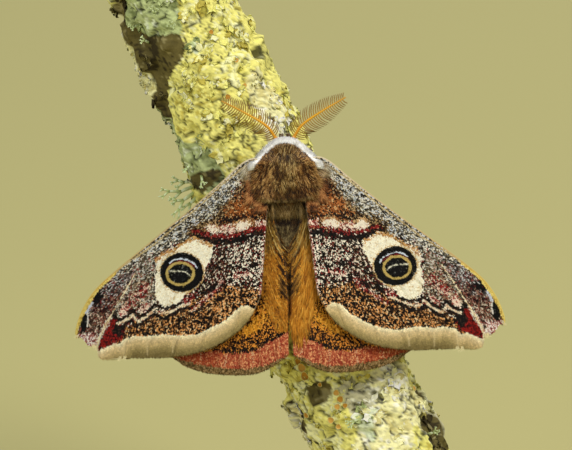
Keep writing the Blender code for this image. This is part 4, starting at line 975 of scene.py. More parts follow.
def wing_membrane(bag, wing, side, painter, seed):
    """The wing's own closed sheet, on the unwrap's left and right halves, with its rim in a strip."""
    columns, rows = round(WING_ACROSS / SHEET_CELL), round(WING_ALONG / SHEET_CELL)
    u, v = np.meshgrid(np.linspace(0, 1, columns), np.linspace(0, 1, rows))
    rims = []
    for top in (True, False):
        points = wing.face(u, v, side, top)
        x, y = on_plate(points.reshape(-1, 3))
        colours = painter(x, y, seed)
        if not top:
            colours = paint_underside(x, y, colours, seed)
        colours = colours.reshape(points.shape)
        spots = np.stack((0.01 + 0.47 * u + (0 if top else LOWER_FACE_SPOT), 0.01 + 0.98 * v), axis=-1)
        rims.append((rim_of(points), rim_of(colours)))
        order = slice(None, None, 1 if top == (side < 0) else -1)
        bag.grid(points[:, order], colours[:, order], spots[:, order])
    points, colours = (np.stack(pair) for pair in zip(*rims))
    strip = np.meshgrid((0.984, 0.996), np.linspace(0.01, 0.99, points.shape[1]), indexing="ij")
    bag.grid(points, colours, np.stack(strip, axis=-1), wrap=True)


def scale_rows(wing, along, across, rng):
    """Places of scales in rows across a wing, as u and v, with every second row set over."""
    rows = int(ROWS_REACH / along)
    places_u, places_v = [], []
    for row in range(rows):
        share = (row + 0.5) / rows
        line = wing.plan(np.linspace(0, 1, 60), np.full(60, share))
        width = np.linalg.norm(np.diff(line, axis=0), axis=1)
        stations = np.concatenate(([0.0], np.cumsum(width)))
        count = max(int(stations[-1] / across), 3)
        reach = (np.arange(count) + 0.5 * (row % 2) + rng.uniform(0.1, 0.5, count)) / count * stations[-1]
        places_u.append(np.interp(reach, stations, np.linspace(0, 1, 60)))
        places_v.append(np.full(count, share) + rng.uniform(-0.4, 0.4, count) / rows)
    return tuple(np.clip(np.concatenate(places), 0.002, 0.998) for places in (places_u, places_v))


def wing_scales(bag, wing, side, painter, seed, size, top=True, eyespot=False):
    """Overlapping scales that lie from root to rim over one face of a wing, or only over its eyespot."""
    rng = np.random.default_rng(seed + (11 if side > 0 else 12) + (0 if top else 50))
    along, across = size * SCALE_ALONG, size * SCALE_ACROSS
    u, v = scale_rows(wing, along, across, rng)
    if top:
        if wing is FOREWING:
            x, y = on_plate(wing.face(u, v, side, top))
            kept = (np.hypot(x - DISC_AT[0], y - DISC_AT[1]) < EYESPOT_REACH) == eyespot
        else:
            plan = wing.plan(u, v)
            kept = depth_inside(plan[:, 0], plan[:, 1], FORE_OUTLINE) < UNDER_FOREWING
        u, v = u[kept], v[kept]
    places, normals, ways = wing.axes(u, v, side, top)
    x, y = on_plate(places)
    colours = painter(x, y, seed + (0 if side > 0 else 200))
    if not top:
        colours = paint_underside(x, y, colours, seed)
    count = len(u)
    colours = colours * rng.uniform(0.86, 1.12, (count, 1))
    aside = np.cross(normals, ways)
    ways = unit(ways + aside * rng.normal(0, 0.13, (count, 1)))
    lengths, widths = along * rng.uniform(1.7, 2.5, count), across * rng.uniform(1.15, 1.6, count)
    tilt = rng.uniform(0.10, 0.34, count)
    spots = np.column_stack((0.01 + 0.466 * u + (0 if top else LOWER_FACE_SPOT), 0.01 + 0.975 * v))
    add_flakes(bag, places, normals, ways, lengths, widths, tilt, colours, spots)


def wing_fringe(bag, wing, side, painter, seed):
    """Narrow scales in several layers that stand past the outer edge."""
    rng = np.random.default_rng(seed + (71 if side > 0 else 72))
    count = int(MARGIN_REACH / FRINGE_GAP)
    u = np.clip((np.arange(count) + rng.uniform(0, 1, count)) / count, 0.001, 0.999)
    top = rng.uniform(0, 1, count)
    upper, normals, ways = wing.axes(u, np.full(count, 0.995), side, True)
    lower = wing.face(u, np.full(count, 0.995), side, False)
    roots = upper * top[:, None] + lower * (1 - top[:, None])
    x, y = on_plate(upper)
    colours = painter(x, y, seed) * rng.uniform(0.8, 1.15, (count, 1))
    lengths = rng.uniform(*FRINGE_LENGTHS, count)
    steps = np.linspace(0, 1, 4)[None, :, None]
    fan = ways + np.cross(normals, ways) * rng.normal(0, 0.12, (count, 1))
    fan = fan + normals * rng.normal(0, 0.1, (count, 1))
    paths = (roots - 0.25 * ways)[:, None] + unit(fan)[:, None] * (lengths + 0.25)[:, None, None] * steps
    spots = np.column_stack((0.01 + 0.466 * u, np.full(count, 0.985)))
    widths = rng.uniform(*FRINGE_WIDTHS, count)
    # Painted shade: each fringe scale is a little darker at its root, where it starts between the wing's
    # faces.
    add_strands(bag, paths, widths, colours * 0.9, colours, spots, taper=(0.8, 1.0, 0.8))
    if wing is FOREWING:
        add_frays(bag, rng, upper, ways, normals, x, spots)


def add_frays(bag, rng, rims, ways, normals, x, spots):
    """Worn cream threads that curl from the margin in a few tufts near the wing's outer corner."""
    for middle, length in FRAYS_ON_PLATE:
        near = np.argsort(np.abs(x - middle))[:FRAYS_EACH]
        t = np.linspace(0, 1, 6)[None, :, None]
        aside = np.cross(normals[near], ways[near])
        curl = rng.normal(0, 0.5, (FRAYS_EACH, 1, 1))
        wave = 0.12 * np.sin(6 * t + rng.uniform(0, 6, (FRAYS_EACH, 1, 1)))
        reach = length * rng.uniform(0.5, 1.1, (FRAYS_EACH, 1, 1))
        paths = (rims[near][:, None] + ways[near][:, None] * reach * (t - 0.35 * t**2)
                 + aside[:, None] * reach * (curl * t**2 + wave)
                 + normals[near][:, None] * (0.1 + 0.25 * t**2))
        colours = np.tile(FRAY_TONE, (FRAYS_EACH, 1)) * rng.uniform(0.85, 1.1, (FRAYS_EACH, 1))
        add_strands(bag, paths, np.full(FRAYS_EACH, 0.05), colours, colours, spots[near], taper=(1.0, 0.8))


def wing_edge_vein(bag, wing, side):
    """The smooth pale vein that stiffens the forewing's front edge, yellow towards the tip."""
    v = np.linspace(0.02, 0.99, 90)
    path = 0.5 * (wing.face(0 * v, v, side) + wing.face(0 * v, v, side, False))
    path[:, 2] += 0.1
    radii = np.interp(v, (0, 0.1, 0.85, 1), (0.16, 0.18, 0.2, 0.12))
    tones = np.stack([np.interp(v, (0, 0.25, 0.66, 0.76, 1), [colour[part] for colour in EDGE_TONES])
                      for part in range(3)], axis=-1)
    add_tube(bag, path, radii, tones, spot=(0.985, 0.99))


def make_wings():
    """Each wing as a sheet that stands for the solid, and a coat of scales over both its faces."""
    look = painted_look("wing scales", roughness=0.62, bump_scale=9000.0, bump_strength=0.25,
                        bump_depth=0.00002, vary=0.10, specular=0.12, sheen=0.03)
    for tag, side in SIDES:
        for kind, wing, painter, seed in (("forewing", FOREWING, paint_forewing, 100),
                                          ("hindwing", HINDWING, paint_hindwing, 300)):
            bag = Bag()
            wing_membrane(bag, wing, side, painter, seed)
            if wing is FOREWING:
                wing_edge_vein(bag, wing, side)
            make_piece(f"{kind}_{tag}_sheet", bag, look, [f"{kind}_{tag}"])
            bag = Bag()
            wing_scales(bag, wing, side, painter, seed, 1.0)
            if wing is FOREWING:
                wing_scales(bag, wing, side, painter, seed, EYESPOT_FINER, eyespot=True)
            wing_scales(bag, wing, side, painter, seed, UNDERSIDE_COARSER, top=False)
            wing_fringe(bag, wing, side, painter, seed)
            make_piece(f"{kind}_{tag}_scales", bag, look, smooth=False)


# Body

HAIR_AMOUNT = 1.0
FACE_FRONT = 12.65
THORAX_FAN_FROM = 12.2
THORAX_MID = shades((0.34, 66, 42, 14), (0.34, 136, 100, 48), (0.32, 212, 180, 116))
THORAX_SIDE = shades((0.34, 62, 34, 10), (0.34, 142, 94, 42), (0.32, 212, 166, 100))
# Dark hair at the thorax's rear: partly its own dark colour and partly painted shadow where the thorax's
# hair steps down to the abdomen.
THORAX_REAR = shades((0.42, 52, 28, 8), (0.36, 108, 68, 28), (0.22, 158, 114, 60))
COLLAR = shades((0.1, 240, 236, 226), (0.9, 255, 255, 253))
COLLAR_CENTRE = (0.0, 8.35)
COLLAR_END_DEG = 77
COLLAR_TURNS_DEG = (0, 15, 24, 42, 60, 70, 82)
COLLAR_INNERS = (3.6, 3.56, 3.34, 3.16, 3.3, 3.5, 3.6)
COLLAR_OUTERS = (4.3, 4.28, 4.06, 3.88, 4.02, 4.28, 4.4)
WING_ROOT = shades((0.35, 150, 124, 90), (0.65, 240, 232, 214))
WING_ROOT_TAN = shades((0.4, 120, 92, 60), (0.6, 208, 182, 144))
WING_ROOT_RUST = shades((0.3, 60, 32, 12), (0.4, 150, 88, 42), (0.3, 204, 146, 88))
TUFT_TAN = shades((0.25, 96, 72, 34), (0.45, 142, 114, 66), (0.3, 178, 152, 102))
BELT_DARK = shades((0.6, 36, 20, 10), (0.4, 78, 52, 26))
BACK_OLIVE = shades((0.3, 66, 50, 28), (0.45, 112, 94, 60), (0.25, 152, 134, 92))
BELLY = shades((0.25, 120, 98, 74), (0.45, 164, 144, 116), (0.3, 208, 194, 170))
RING_PALE = shades((0.3, 140, 122, 92), (0.7, 198, 184, 152))
OCHRE = shades((0.2, 126, 72, 14), (0.43, 204, 134, 34), (0.37, 238, 178, 70))
OCHRE_DARK = shades((0.5, 52, 30, 12), (0.3, 108, 72, 28), (0.2, 160, 116, 54))
BROWN_OCHRE = shades((0.28, 84, 58, 22), (0.36, 150, 112, 44), (0.26, 190, 152, 70), (0.1, 214, 190, 122))
FACE = shades((0.35, 84, 56, 32), (0.4, 132, 102, 66), (0.25, 196, 176, 140))
STRAW = shades((0.4, 196, 158, 80), (0.6, 222, 192, 118))


def hair_count(number):
    return round(number * HAIR_AMOUNT)


def section_reach(y, turn, start, centre, radii, middle):
    """How far a ray from the body's axis goes to an oval solid's surface, or zero where it misses."""
    swell = np.sqrt(np.clip(1 - ((y - middle) / radii[1]) ** 2, 0, 1))
    return oval_reach(turn, start - centre, radii[0] * swell, radii[2] * swell)


def oval_reach(turn, offset, wide, high):
    """How far a ray goes from a place that far over an oval's middle to the oval."""
    wide, high = np.maximum(wide, 1e-4), np.maximum(high, 1e-4)
    a = (np.sin(turn) / wide) ** 2 + (np.cos(turn) / high) ** 2
    b = 2 * offset * np.cos(turn) / high**2
    c = (offset / high) ** 2 - 1
    inside = b * b - 4 * a * c
    reach = (-b + np.sqrt(np.maximum(inside, 0))) / (2 * a)
    return np.where(inside > 0, np.maximum(reach, 0), 0.0)


def body_axis(y):
    return np.interp(y, (ABDOMEN_TIP, ABDOMEN_FRONT, 7.0, 9.6, 11.2), (-1.35, -0.45, 0.0, 0.0, -1.2))


def body_reach(y, turn):
    """The body's radius from its axis, over thorax, head and abdomen as one form; turn 0 is its back."""
    start = body_axis(y)
    thorax = section_reach(y, turn, start, THORAX_AT[2], THORAX_RADII, THORAX_AT[1])
    head = section_reach(y, turn, start, HEAD_AT[2], HEAD_RADII, HEAD_AT[1])
    radius = np.where(y < ABDOMEN_FRONT + 0.8, abdomen_radius(np.minimum(y, ABDOMEN_FRONT + 0.8)), 0.0)
    abdomen = oval_reach(turn, start - abdomen_axis(y), radius, radius)
    return (thorax**8 + head**8 + abdomen**8) ** 0.125


def body_point(y, turn, lift=0.0):
    """A place on the body, or that far over it, by the way along it and the turn round it."""
    reach = np.maximum(body_reach(y, turn) + lift, 0.01)
    return np.stack((reach * np.sin(turn), y + 0 * turn, body_axis(y) + reach * np.cos(turn)), axis=-1)


def body_spot(y, turn):
    """The unwrap place of the body's surface."""
    share = (y - ABDOMEN_TIP) / (HEAD_AT[1] + HEAD_RADII[1] - ABDOMEN_TIP)
    around = np.mod(turn / (2 * np.pi), 1.0)
    return np.stack((0.02 + 0.95 * around, 0.01 + 0.97 * np.clip(share, 0, 1)), axis=-1)


def paint_body(points, pick):
    """The coat's colours on thorax, abdomen and head, by place; the underside is paler."""
    x, y, z = points[:, 0], points[:, 1], points[:, 2]
    side = np.abs(x)
    soft = (grain(x * 1.3, y * 1.3, z * 1.3, seed=61) - 0.5) * 0.9
    soft = soft + (dice(len(x), 62) - 0.5) * 1.2

    def mix(colour, palette, mask):
        mask = np.clip(mask, 0, 1)[:, None]
        return colour * (1 - mask) + choose(palette, pick) * mask

    colour = choose(THORAX_SIDE, pick)
    colour = mix(colour, THORAX_MID, 1 - ease(0.9, 1.9, side + soft))
    # Darker rear of the thorax: partly its own colour and partly painted shadow of the step down to the
    # abdomen.
    rear = 1 - ease(5.9, 6.9, y + 0.7 * soft)
    colour = mix(colour, THORAX_REAR, rear * (1 - 0.6 * ease(1.7, 2.5, side)))
    abdomen = 1 - ease(5.3, 5.7, y)
    colour = mix(colour, TUFT_TAN, abdomen)
    colour = mix(colour, BELT_DARK, abdomen * (1 - ease(3.7, 4.3, y + 0.5 * soft)))
    colour = mix(colour, BACK_OLIVE, 1 - ease(2.5, 3.1, y + 0.5 * soft))
    belt = np.abs(np.sin(ABDOMEN_RINGS * np.pi * abdomen_share(y)))
    colour = mix(colour, RING_PALE, (1 - ease(2.4, 3.0, y)) * (1 - ease(0.12, 0.4, belt)) * 0.7)
    colour = mix(colour, FACE, ease(10.2, 11.0, y) * (1 - ease(-0.2, 0.4, z)))
    return mix(colour, BELLY, (1 - ease(-1.9, -0.7, z + soft)) * (1 - ease(9.6, 10.4, y)))


def make_skin(look):
    """One skin under the whole coat, closed at tail and face."""
    rows, sides = ((120, 72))
    middle, half = 0.5 * (ABDOMEN_TIP + FACE_FRONT), 0.5 * (FACE_FRONT - ABDOMEN_TIP)
    y, turn = np.meshgrid(middle - half * np.cos(np.linspace(0, np.pi, rows)),
                          np.linspace(0, 2 * np.pi, sides), indexing="ij")
    points = body_point(y, turn, lift=-0.22)
    flat = points.reshape(-1, 3)
    # Painted shade: the skin takes the coat's colours darkened by a fifth, as it lies in the shade of the
    # hair over it.
    colours = paint_body(flat, streak_pick(flat[:, 0], flat[:, 1], flat[:, 2], 5)) * 0.8
    bag = Bag()
    bag.grid(points, colours.reshape(points.shape), body_spot(y, turn * 0.999))
    make_piece("body_skin", bag, look, ["thorax", "head", "abdomen"])


def streak_pick(x, y, z, seed):
    """A pick from 0 to 1 that clumps into tufts along the body."""
    clump = grain(x * 3.6, y * 1.8, z * 3.0, seed=seed)
    return ranked(1.3 * clump + 0.75 * dice(len(x), seed + 2))


def comb_over(bag, rng, roots, ways, lengths, height, lifts, palette, widths, seed, curl=0.12, spread=0.16,
              tangle=1.1, root_shade=0.66, swell=0.7, short=False, fan=False):
    """Hairs over the back, in plan: each runs its way while its height follows what it lies on."""
    count = len(roots)
    clump = grain(roots[:, 0] * 1.7, roots[:, 1] * 1.7, seed=seed) - 0.5
    swing = tangle * clump + rng.normal(0, spread, count)
    cos, sin = np.cos(swing), np.sin(swing)
    ways = unit(ways)
    ways = np.column_stack((ways[:, 0] * cos - ways[:, 1] * sin, ways[:, 0] * sin + ways[:, 1] * cos))
    aside = np.column_stack((-ways[:, 1], ways[:, 0]))
    steps = SHORT_STEPS if short else HAIR_STEPS
    bend = rng.normal(0, curl, count)[:, None] * (steps**2)[None]
    plan = (roots[:, None] + ways[:, None] * (lengths[:, None] * steps)[..., None]
            + aside[:, None] * (bend * lengths[:, None])[..., None])
    tall = rng.uniform(0.55, 1.25, count) * (1 + swell * clump)
    z = height(plan[..., 0], plan[..., 1]) + np.interp(steps, HAIR_STEPS, lifts)[None] * tall[:, None]
    paths = np.concatenate((plan, z[..., None]), axis=-1)
    if fan:
        stream = roots[:, 0] / np.maximum(THORAX_FAN_FROM - roots[:, 1], 0.8) ** 0.75
        pick = streak_pick(3.9 * stream, 0.6 * roots[:, 1], 0 * clump, seed + 4)
    else:
        pick = streak_pick(roots[:, 0], roots[:, 1], 0 * clump, seed + 4)
    if callable(palette):
        root_colour, tip_colour = palette(paths[:, 0], pick), palette(paths[:, -1], pick)
    else:
        root_colour = tip_colour = choose(palette, pick)
    shade = rng.uniform(0.85, 1.15, (count, 1))
    turn = np.arctan2(paths[:, 0, 0], paths[:, 0, 2] - body_axis(paths[:, 0, 1]))
    # Painted shade and light: each hair is darkened at its root by root_shade, in the shade of the hair that
    # lies over it, and lightened a little at its tip.
    add_strands(bag, paths, widths * rng.uniform(0.75, 1.25, count), root_colour * root_shade * shade,
                tip_colour * 1.06 * shade, body_spot(paths[:, 0, 1], turn))


def comb_round(bag, rng, y, turn, run, swing, lengths, lifts, widths, seed, colours=None):
    """Hairs anywhere round the body: each follows the skin from its root, run mm along for its length."""
    count = len(y)
    clump = grain(y * 1.5, np.sin(turn) * 3, np.cos(turn) * 3, seed=seed) - 0.5
    steps = SHORT_STEPS
    reach = np.maximum(body_reach(y, turn), 0.4)
    lean = swing + 1.0 * clump + rng.normal(0, 0.2, count)
    along = y[:, None] + (run * lengths * np.cos(lean))[:, None] * steps
    around = turn[:, None] + (lengths * np.sin(lean) / reach)[:, None] * steps
    tall = rng.uniform(0.6, 1.3, count) * (1 + 0.8 * clump)
    paths = body_point(along, around, np.interp(steps, HAIR_STEPS, lifts)[None] * tall[:, None])
    pick = streak_pick(paths[:, 0, 0], y, paths[:, 0, 2], seed + 4)
    colour = paint_body(paths[:, 0], pick) if colours is None else choose(colours, pick)
    shade = rng.uniform(0.85, 1.15, (count, 1))
    widths = widths * rng.uniform(0.75, 1.25, count)
    # Painted shade and light: each hair is darker at its root, in the shade of the hair over it, and a
    # little lighter at its tip.
    add_strands(bag, paths, widths, colour * 0.65 * shade, colour * 1.05 * shade, body_spot(y, turn))


def ellipsoid_top(x, y, centre, radii):
    """The height of an oval solid's top over places of the plan, and far below where it has none."""
    left = 1 - ((x - centre[0]) / radii[0]) ** 2 - ((y - centre[1]) / radii[1]) ** 2
    return np.where(left > 0, centre[2] + radii[2] * np.sqrt(np.maximum(left, 0)), -9.0)


def coat_floor(x, y):
    """The height that the back's hair lies on: the body, or clear of the wings."""
    side = np.abs(x)
    height = np.maximum(ellipsoid_top(x, y, THORAX_AT, THORAX_RADII), 0.0)
    height = np.maximum(height, ellipsoid_top(x, y, HEAD_AT, HEAD_RADII) + GAP)
    wing = forewing_height(side, y) + WING_HALF + 0.5 * VEIN_RISE + GAP
    reach = ease(0.5, 1.7, side) * (1 - ease(9.7, 10.9, y))
    height = np.where((y > 4.0) & (y < 10.9), np.maximum(height, wing - 3.0 * (1 - reach)), height)
    back = abdomen_axis(y) + np.sqrt(np.maximum(ABDOMEN_RADIUS**2 - x * x, 0)) + GAP
    on_back = (y < ABDOMEN_FRONT + 0.3) & (side < ABDOMEN_RADIUS - 0.1)
    return np.where(on_back, np.maximum(height, back), height)


def hind_floor(x, y):
    """The height over a hindwing near the body, and over the abdomen between the hindwings."""
    side = np.abs(x)
    wing = hindwing_height(np.maximum(side, 0.2), np.minimum(y, 6.4)) + WING_HALF
    back = abdomen_axis(y) + np.sqrt(np.maximum(ABDOMEN_RADIUS**2 - x * x, 0)) * 1.02
    inner = np.interp(y, (-11.5, -5.0, -1.6, 0.6, 3.4, 5.4), (0.3, 0.3, 0.45, 1.0, 1.5, 1.6))
    share = ease(-0.25, 0.1, side - inner)
    return np.where(y > ABDOMEN_TIP, back * (1 - share) + np.maximum(wing, back) * share, wing)


def spread_over(rng, count, x_range, y_range, keep):
    """Random places of the plan that a test keeps."""
    x, y = rng.uniform(*x_range, 4 * count), rng.uniform(*y_range, 4 * count)
    kept = keep(x, y)
    return np.column_stack((x[kept], y[kept]))[:count]


def make_thorax_coat(look, rng):
    """Hair that fans back over the thorax; at its front it stands up against the collar."""
    for part, low, high in (("front", 8.2, 11.6), ("rear", 5.5, 8.2)):
        bag = Bag()
        roots = spread_over(rng, hair_count(7000), (-3.1, 3.1), (low, high),
                            lambda x, y: (x / 3.05) ** 2 + ((y - 8.4) / 3.1) ** 2 < 1)
        ways = np.column_stack((0.75 * roots[:, 0], roots[:, 1] - THORAX_FAN_FROM))
        outward = roots - COLLAR_CENTRE
        reach = np.linalg.norm(outward, axis=1)
        chance = ease(-0.1, 0.5, outward[:, 1] / np.maximum(reach, 0.1)) * ease(1.5, 3.0, reach)
        front = (rng.uniform(0, 1, len(roots)) < chance).astype(float)
        ways = unit(ways) * (1 - front)[:, None] + unit(outward) * front[:, None]
        lengths = rng.uniform(0.8, 1.6, len(roots))
        turn_deg = np.degrees(np.abs(np.arctan2(outward[:, 0], outward[:, 1])))
        room = np.interp(turn_deg, COLLAR_TURNS_DEG, COLLAR_INNERS) + rng.normal(0, 0.08, len(roots)) - reach
        lengths = np.where(front > 0.25, np.clip(np.minimum(lengths, room), 0.35, 1.6), lengths)
        side = np.abs(roots[:, 0])
        rear_room = roots[:, 1] - 5.75 + 0.35 * ease(1.2, 2.2, side) + rng.normal(0, 0.16, len(roots))
        lengths = np.minimum(lengths, np.maximum(rear_room, 0.3))
        comb_over(bag, rng, roots, ways, lengths, coat_floor, (-0.35, 0.34, 0.58, 0.56), paint_body,
                  widths=0.072, seed=21 if part == "front" else 22, tangle=0.6, swell=0.45, fan=True)
        make_piece(f"coat_thorax_{part}", bag, look)


def make_collar(look, rng):
    """The white ruff at the front of the thorax, which stands forward over the head."""
    layers = (
        # count, roots inside the ruff's inner edge, heights along a hair
        (3000, -0.5, (-0.2, 0.22, 0.3, 0.12)),
        (1800, -0.6, (-0.9, -0.5, -0.5, -0.8)),
        (1900, -0.3, (-0.1, 0.32, 0.46, 0.34)),
    )
    bag = Bag()
    for count, inner, lifts in layers:
        turn_deg = rng.uniform(-COLLAR_END_DEG, COLLAR_END_DEG, hair_count(count))
        turn = np.radians(turn_deg)
        reach = np.interp(np.abs(turn_deg), COLLAR_TURNS_DEG, COLLAR_INNERS) + inner
        reach = reach + rng.normal(0, 0.08, len(turn))
        roots = np.column_stack((reach * np.sin(turn), reach * np.cos(turn))) + COLLAR_CENTRE
        ways = np.column_stack((np.sin(turn) * (1 + 0.25 * np.abs(turn)), np.cos(turn)))
        lengths = np.interp(np.abs(turn_deg), COLLAR_TURNS_DEG, COLLAR_OUTERS) - reach
        lengths = lengths + rng.normal(0, 0.09, len(turn))
        comb_over(bag, rng, roots, ways, lengths, coat_floor, lifts, COLLAR, widths=0.09, seed=41 + count,
                  curl=0.15, tangle=0.4, spread=0.1, root_shade=1.0, short=count < 2500)
    make_piece("coat_collar", bag, look)


def make_wing_root_coat(look, rng):
    """Hair from the thorax over the roots of the forewings, ever flatter and more like the wing."""
    tracts = (
        # palette, count, roots across, roots along, way out and back, shortest, longest, height
        (WING_ROOT, 420, (3.0, 4.2), (9.2, 9.7), (1.0, -0.86), 0.8, 1.8, 0.25),
        (WING_ROOT_TAN, 620, (2.7, 3.7), (8.4, 9.3), (1.0, -0.9), 0.8, 1.7, 0.35),
        (THORAX_SIDE, 1000, (2.0, 3.0), (7.6, 9.2), (1.0, -1.05), 0.9, 2.0, 1.0),
        (THORAX_SIDE, 1000, (1.9, 2.9), (6.2, 7.8), (0.9, -1.3), 0.8, 1.7, 0.8),
        (WING_ROOT_RUST, 1300, (2.5, 4.2), (5.6, 8.2), (0.9, -1.1), 0.6, 1.2, 0.3),
        (WING_ROOT_RUST, 700, (2.2, 3.4), (4.6, 6.0), (0.6, -1.2), 0.5, 1.0, 0.3),
    )
    bag = Bag()
    for side in (-1, 1):
        for index, (palette, count, across, along, way, low, high, tall) in enumerate(tracts):
            count = hair_count(count)
            roots = np.column_stack((side * rng.uniform(*across, count), rng.uniform(*along, count)))
            ways = np.tile((side * way[0], way[1]), (count, 1))
            lifts = np.array((-0.1, 0.2, 0.22, 0.02)) * tall
            lengths = rng.uniform(low, high, count)
            comb_over(bag, rng, roots, ways, lengths, coat_floor, lifts, palette, widths=0.055,
                      seed=51 + index, curl=0.1, tangle=0.6, short=True)
    make_piece("coat_wing_roots", bag, look)


def make_flank_coat(look, rng):
    """The woolly sides and underside of the thorax, and its front below the collar."""
    bag = Bag()
    count = hair_count(7000)
    y = rng.uniform(4.8, 10.6, count)
    turn = rng.uniform(0.9, 2 * np.pi - 0.9, count)
    comb_round(bag, rng, y, turn, run=-1.0, swing=0.15 * np.sign(turn - np.pi),
               lengths=rng.uniform(0.9, 1.7, count), lifts=(-0.3, 0.12, 0.3, 0.26), widths=0.08, seed=63)
    make_piece("coat_flanks", bag, look)


def make_abdomen_coat(look, rng):
    """The hair round the abdomen, its tail tuft, the tan tuft at its front, and the belts behind that."""
    bag = Bag()
    count = hair_count(7000)
    y = rng.uniform(ABDOMEN_TIP + 0.4, 5.8, count)
    turn = rng.uniform(0, 2 * np.pi, count)
    comb_round(bag, rng, y, turn, run=-1.0, swing=0.0, lengths=rng.uniform(0.7, 1.3, count),
               lifts=(-0.25, 0.08, 0.2, 0.12), widths=0.075, seed=73)
    tuft = hair_count(900)
    turn = rng.uniform(0, 2 * np.pi, tuft)
    comb_round(bag, rng, rng.uniform(-7.2, -6.2, tuft), turn, run=-1.0, swing=0.0,
               lengths=rng.uniform(0.8, 1.4, tuft), lifts=(-0.2, 0.0, -0.1, -0.25), widths=0.07, seed=79,
               colours=TUFT_TAN)
    roots = spread_over(rng, hair_count(2600), (-2.15, 2.15), (4.5, 6.0), lambda x, y: np.abs(x) < 2.15)
    ways = np.column_stack((-0.06 * roots[:, 0], -1 + 0 * roots[:, 0]))
    lengths = np.clip(roots[:, 1] - 3.7 + rng.normal(0, 0.25, len(roots)), 0.7, 2.0)
    comb_over(bag, rng, roots, ways, lengths, hind_floor, (-0.2, 0.24, 0.4, 0.34), TUFT_TAN, widths=0.08,
              seed=83, tangle=0.6, root_shade=0.5)
    for palette, low, high, seed in ((BELT_DARK, 2.6, 4.6, 84), (BACK_OLIVE, 0.9, 3.2, 85)):
        roots = spread_over(rng, hair_count(1800), (-1.9, 1.9), (low, high),
                            lambda x, y: np.abs(x) < 0.3 + v_half_width(y))
        ways = np.column_stack((-0.3 * roots[:, 0], -1 + 0 * roots[:, 0]))
        lengths = rng.uniform(0.6, 1.15, len(roots))
        comb_over(bag, rng, roots, ways, lengths, hind_floor, (-0.25, 0.14, 0.24, 0.14), palette,
                  widths=0.07, seed=seed, tangle=0.6, short=True)
    make_piece("coat_abdomen", bag, look)


def v_half_width(y):
    """Half the width of the abdomen that shows between the combed hair of the hindwings."""
    return np.interp(y, (0.2, 1.2, 2.5, 3.66, 5.5), (0.0, 0.67, 1.3, 1.8, 2.05))


def hind_lean(x):
    """How far inwards the hair beside the body is combed, for each millimetre that it runs back."""
    return np.maximum(0.88 - 0.3 * np.abs(x), 0.2)


def hind_stream(x, y):
    """A number that stays the same along the combed hair beside the body."""
    return -np.log(hind_lean(x)) / 0.3 - y


def paint_hind_hair(points, pick):
    """Brown hair by the body and ochre hair behind, striped, with dark chevrons that meet in the middle."""
    x, y = np.abs(points[:, 0]), points[:, 1]
    stripe = grain(hind_stream(x, y) * 4.6, y * 0.5, seed=87)
    pick = np.clip(0.35 * pick + 0.85 * stripe - 0.1, 0, 0.999)
    browner = ease(-1.6, 1.4, y + 1.6 * (dice(len(x), 90) - 0.5))
    colour = np.where((browner > 0.5)[:, None], choose(BROWN_OCHRE, pick), choose(OCHRE, pick))
    chevron = grain(hind_stream(x, y) * 1.7, y * 0.3, seed=88)
    middle = (1 - ease(0.4, 1.4, x)) * ease(-6.0, -4.2, y) * (1 - ease(2.2, 3.6, y))
    dark = np.clip(middle * (0.5 + 1.5 * ease(0.36, 0.56, chevron)), 0, 1)
    dark = np.maximum(dark, 0.7 * (1 - ease(0.04, 0.2, x)) * ease(-5.4, -4.6, y))
    darker = dark > dice(len(x), 89) * 0.9 + 0.08
    colour = np.where(darker[:, None], choose(OCHRE_DARK, pick), colour)
    pale = ease(0.76, 0.8, stripe) * ease(-2.0, 1.5, y) * ease(0.0, 0.2, x - v_half_width(y))
    return np.where((pale > 0.5)[:, None], choose(STRAW, pick), colour)


def make_hind_hair(look, rng):
    """Long hair on the inner part of each hindwing, combed back and inwards."""
    for tag, side in SIDES:
        bag = Bag()
        for layer, lifts in enumerate(((-0.02, 0.10, 0.14, 0.05), (0.0, 0.20, 0.26, 0.12))):
            roots = spread_over(rng, hair_count(3700), (0.0, 3.5), (-8.8, 5.6), in_hind_hair)
            x, y = roots[:, 0], roots[:, 1]
            lean = hind_lean(x) * ease(-8.5, -4.0, y) * ease(0.0, 0.2, x + 0.04)
            roots[:, 0] *= side
            ways = np.column_stack((-side * lean, -1 + 0 * lean))
            lengths = rng.uniform(1.5, 3.0, len(x)) * (1 - 0.3 * layer)
            lengths = np.minimum(lengths, np.maximum((x + 0.05) / np.maximum(lean, 0.02), 0.5))
            comb_over(bag, rng, roots, ways, lengths, hind_floor, lifts, paint_hind_hair, widths=0.08,
                      seed=91, curl=0.03, spread=0.05, tangle=0.12, root_shade=0.8)
        make_piece(f"coat_hindwing_{tag}", bag, look)


def in_hind_hair(x, y):
    """Whether a place of the plan carries the combed hair of the hindwing."""
    inner = np.maximum(v_half_width(y), np.interp(y, (-9, -5, 0.6), (0.3, 0.2, 0.1)))
    return (x > inner) & (x < np.interp(y, (-9, -4, 0, 6), (1.5, 3.4, 3.3, 2.6)))


# Perch: bark, lichen and sprig

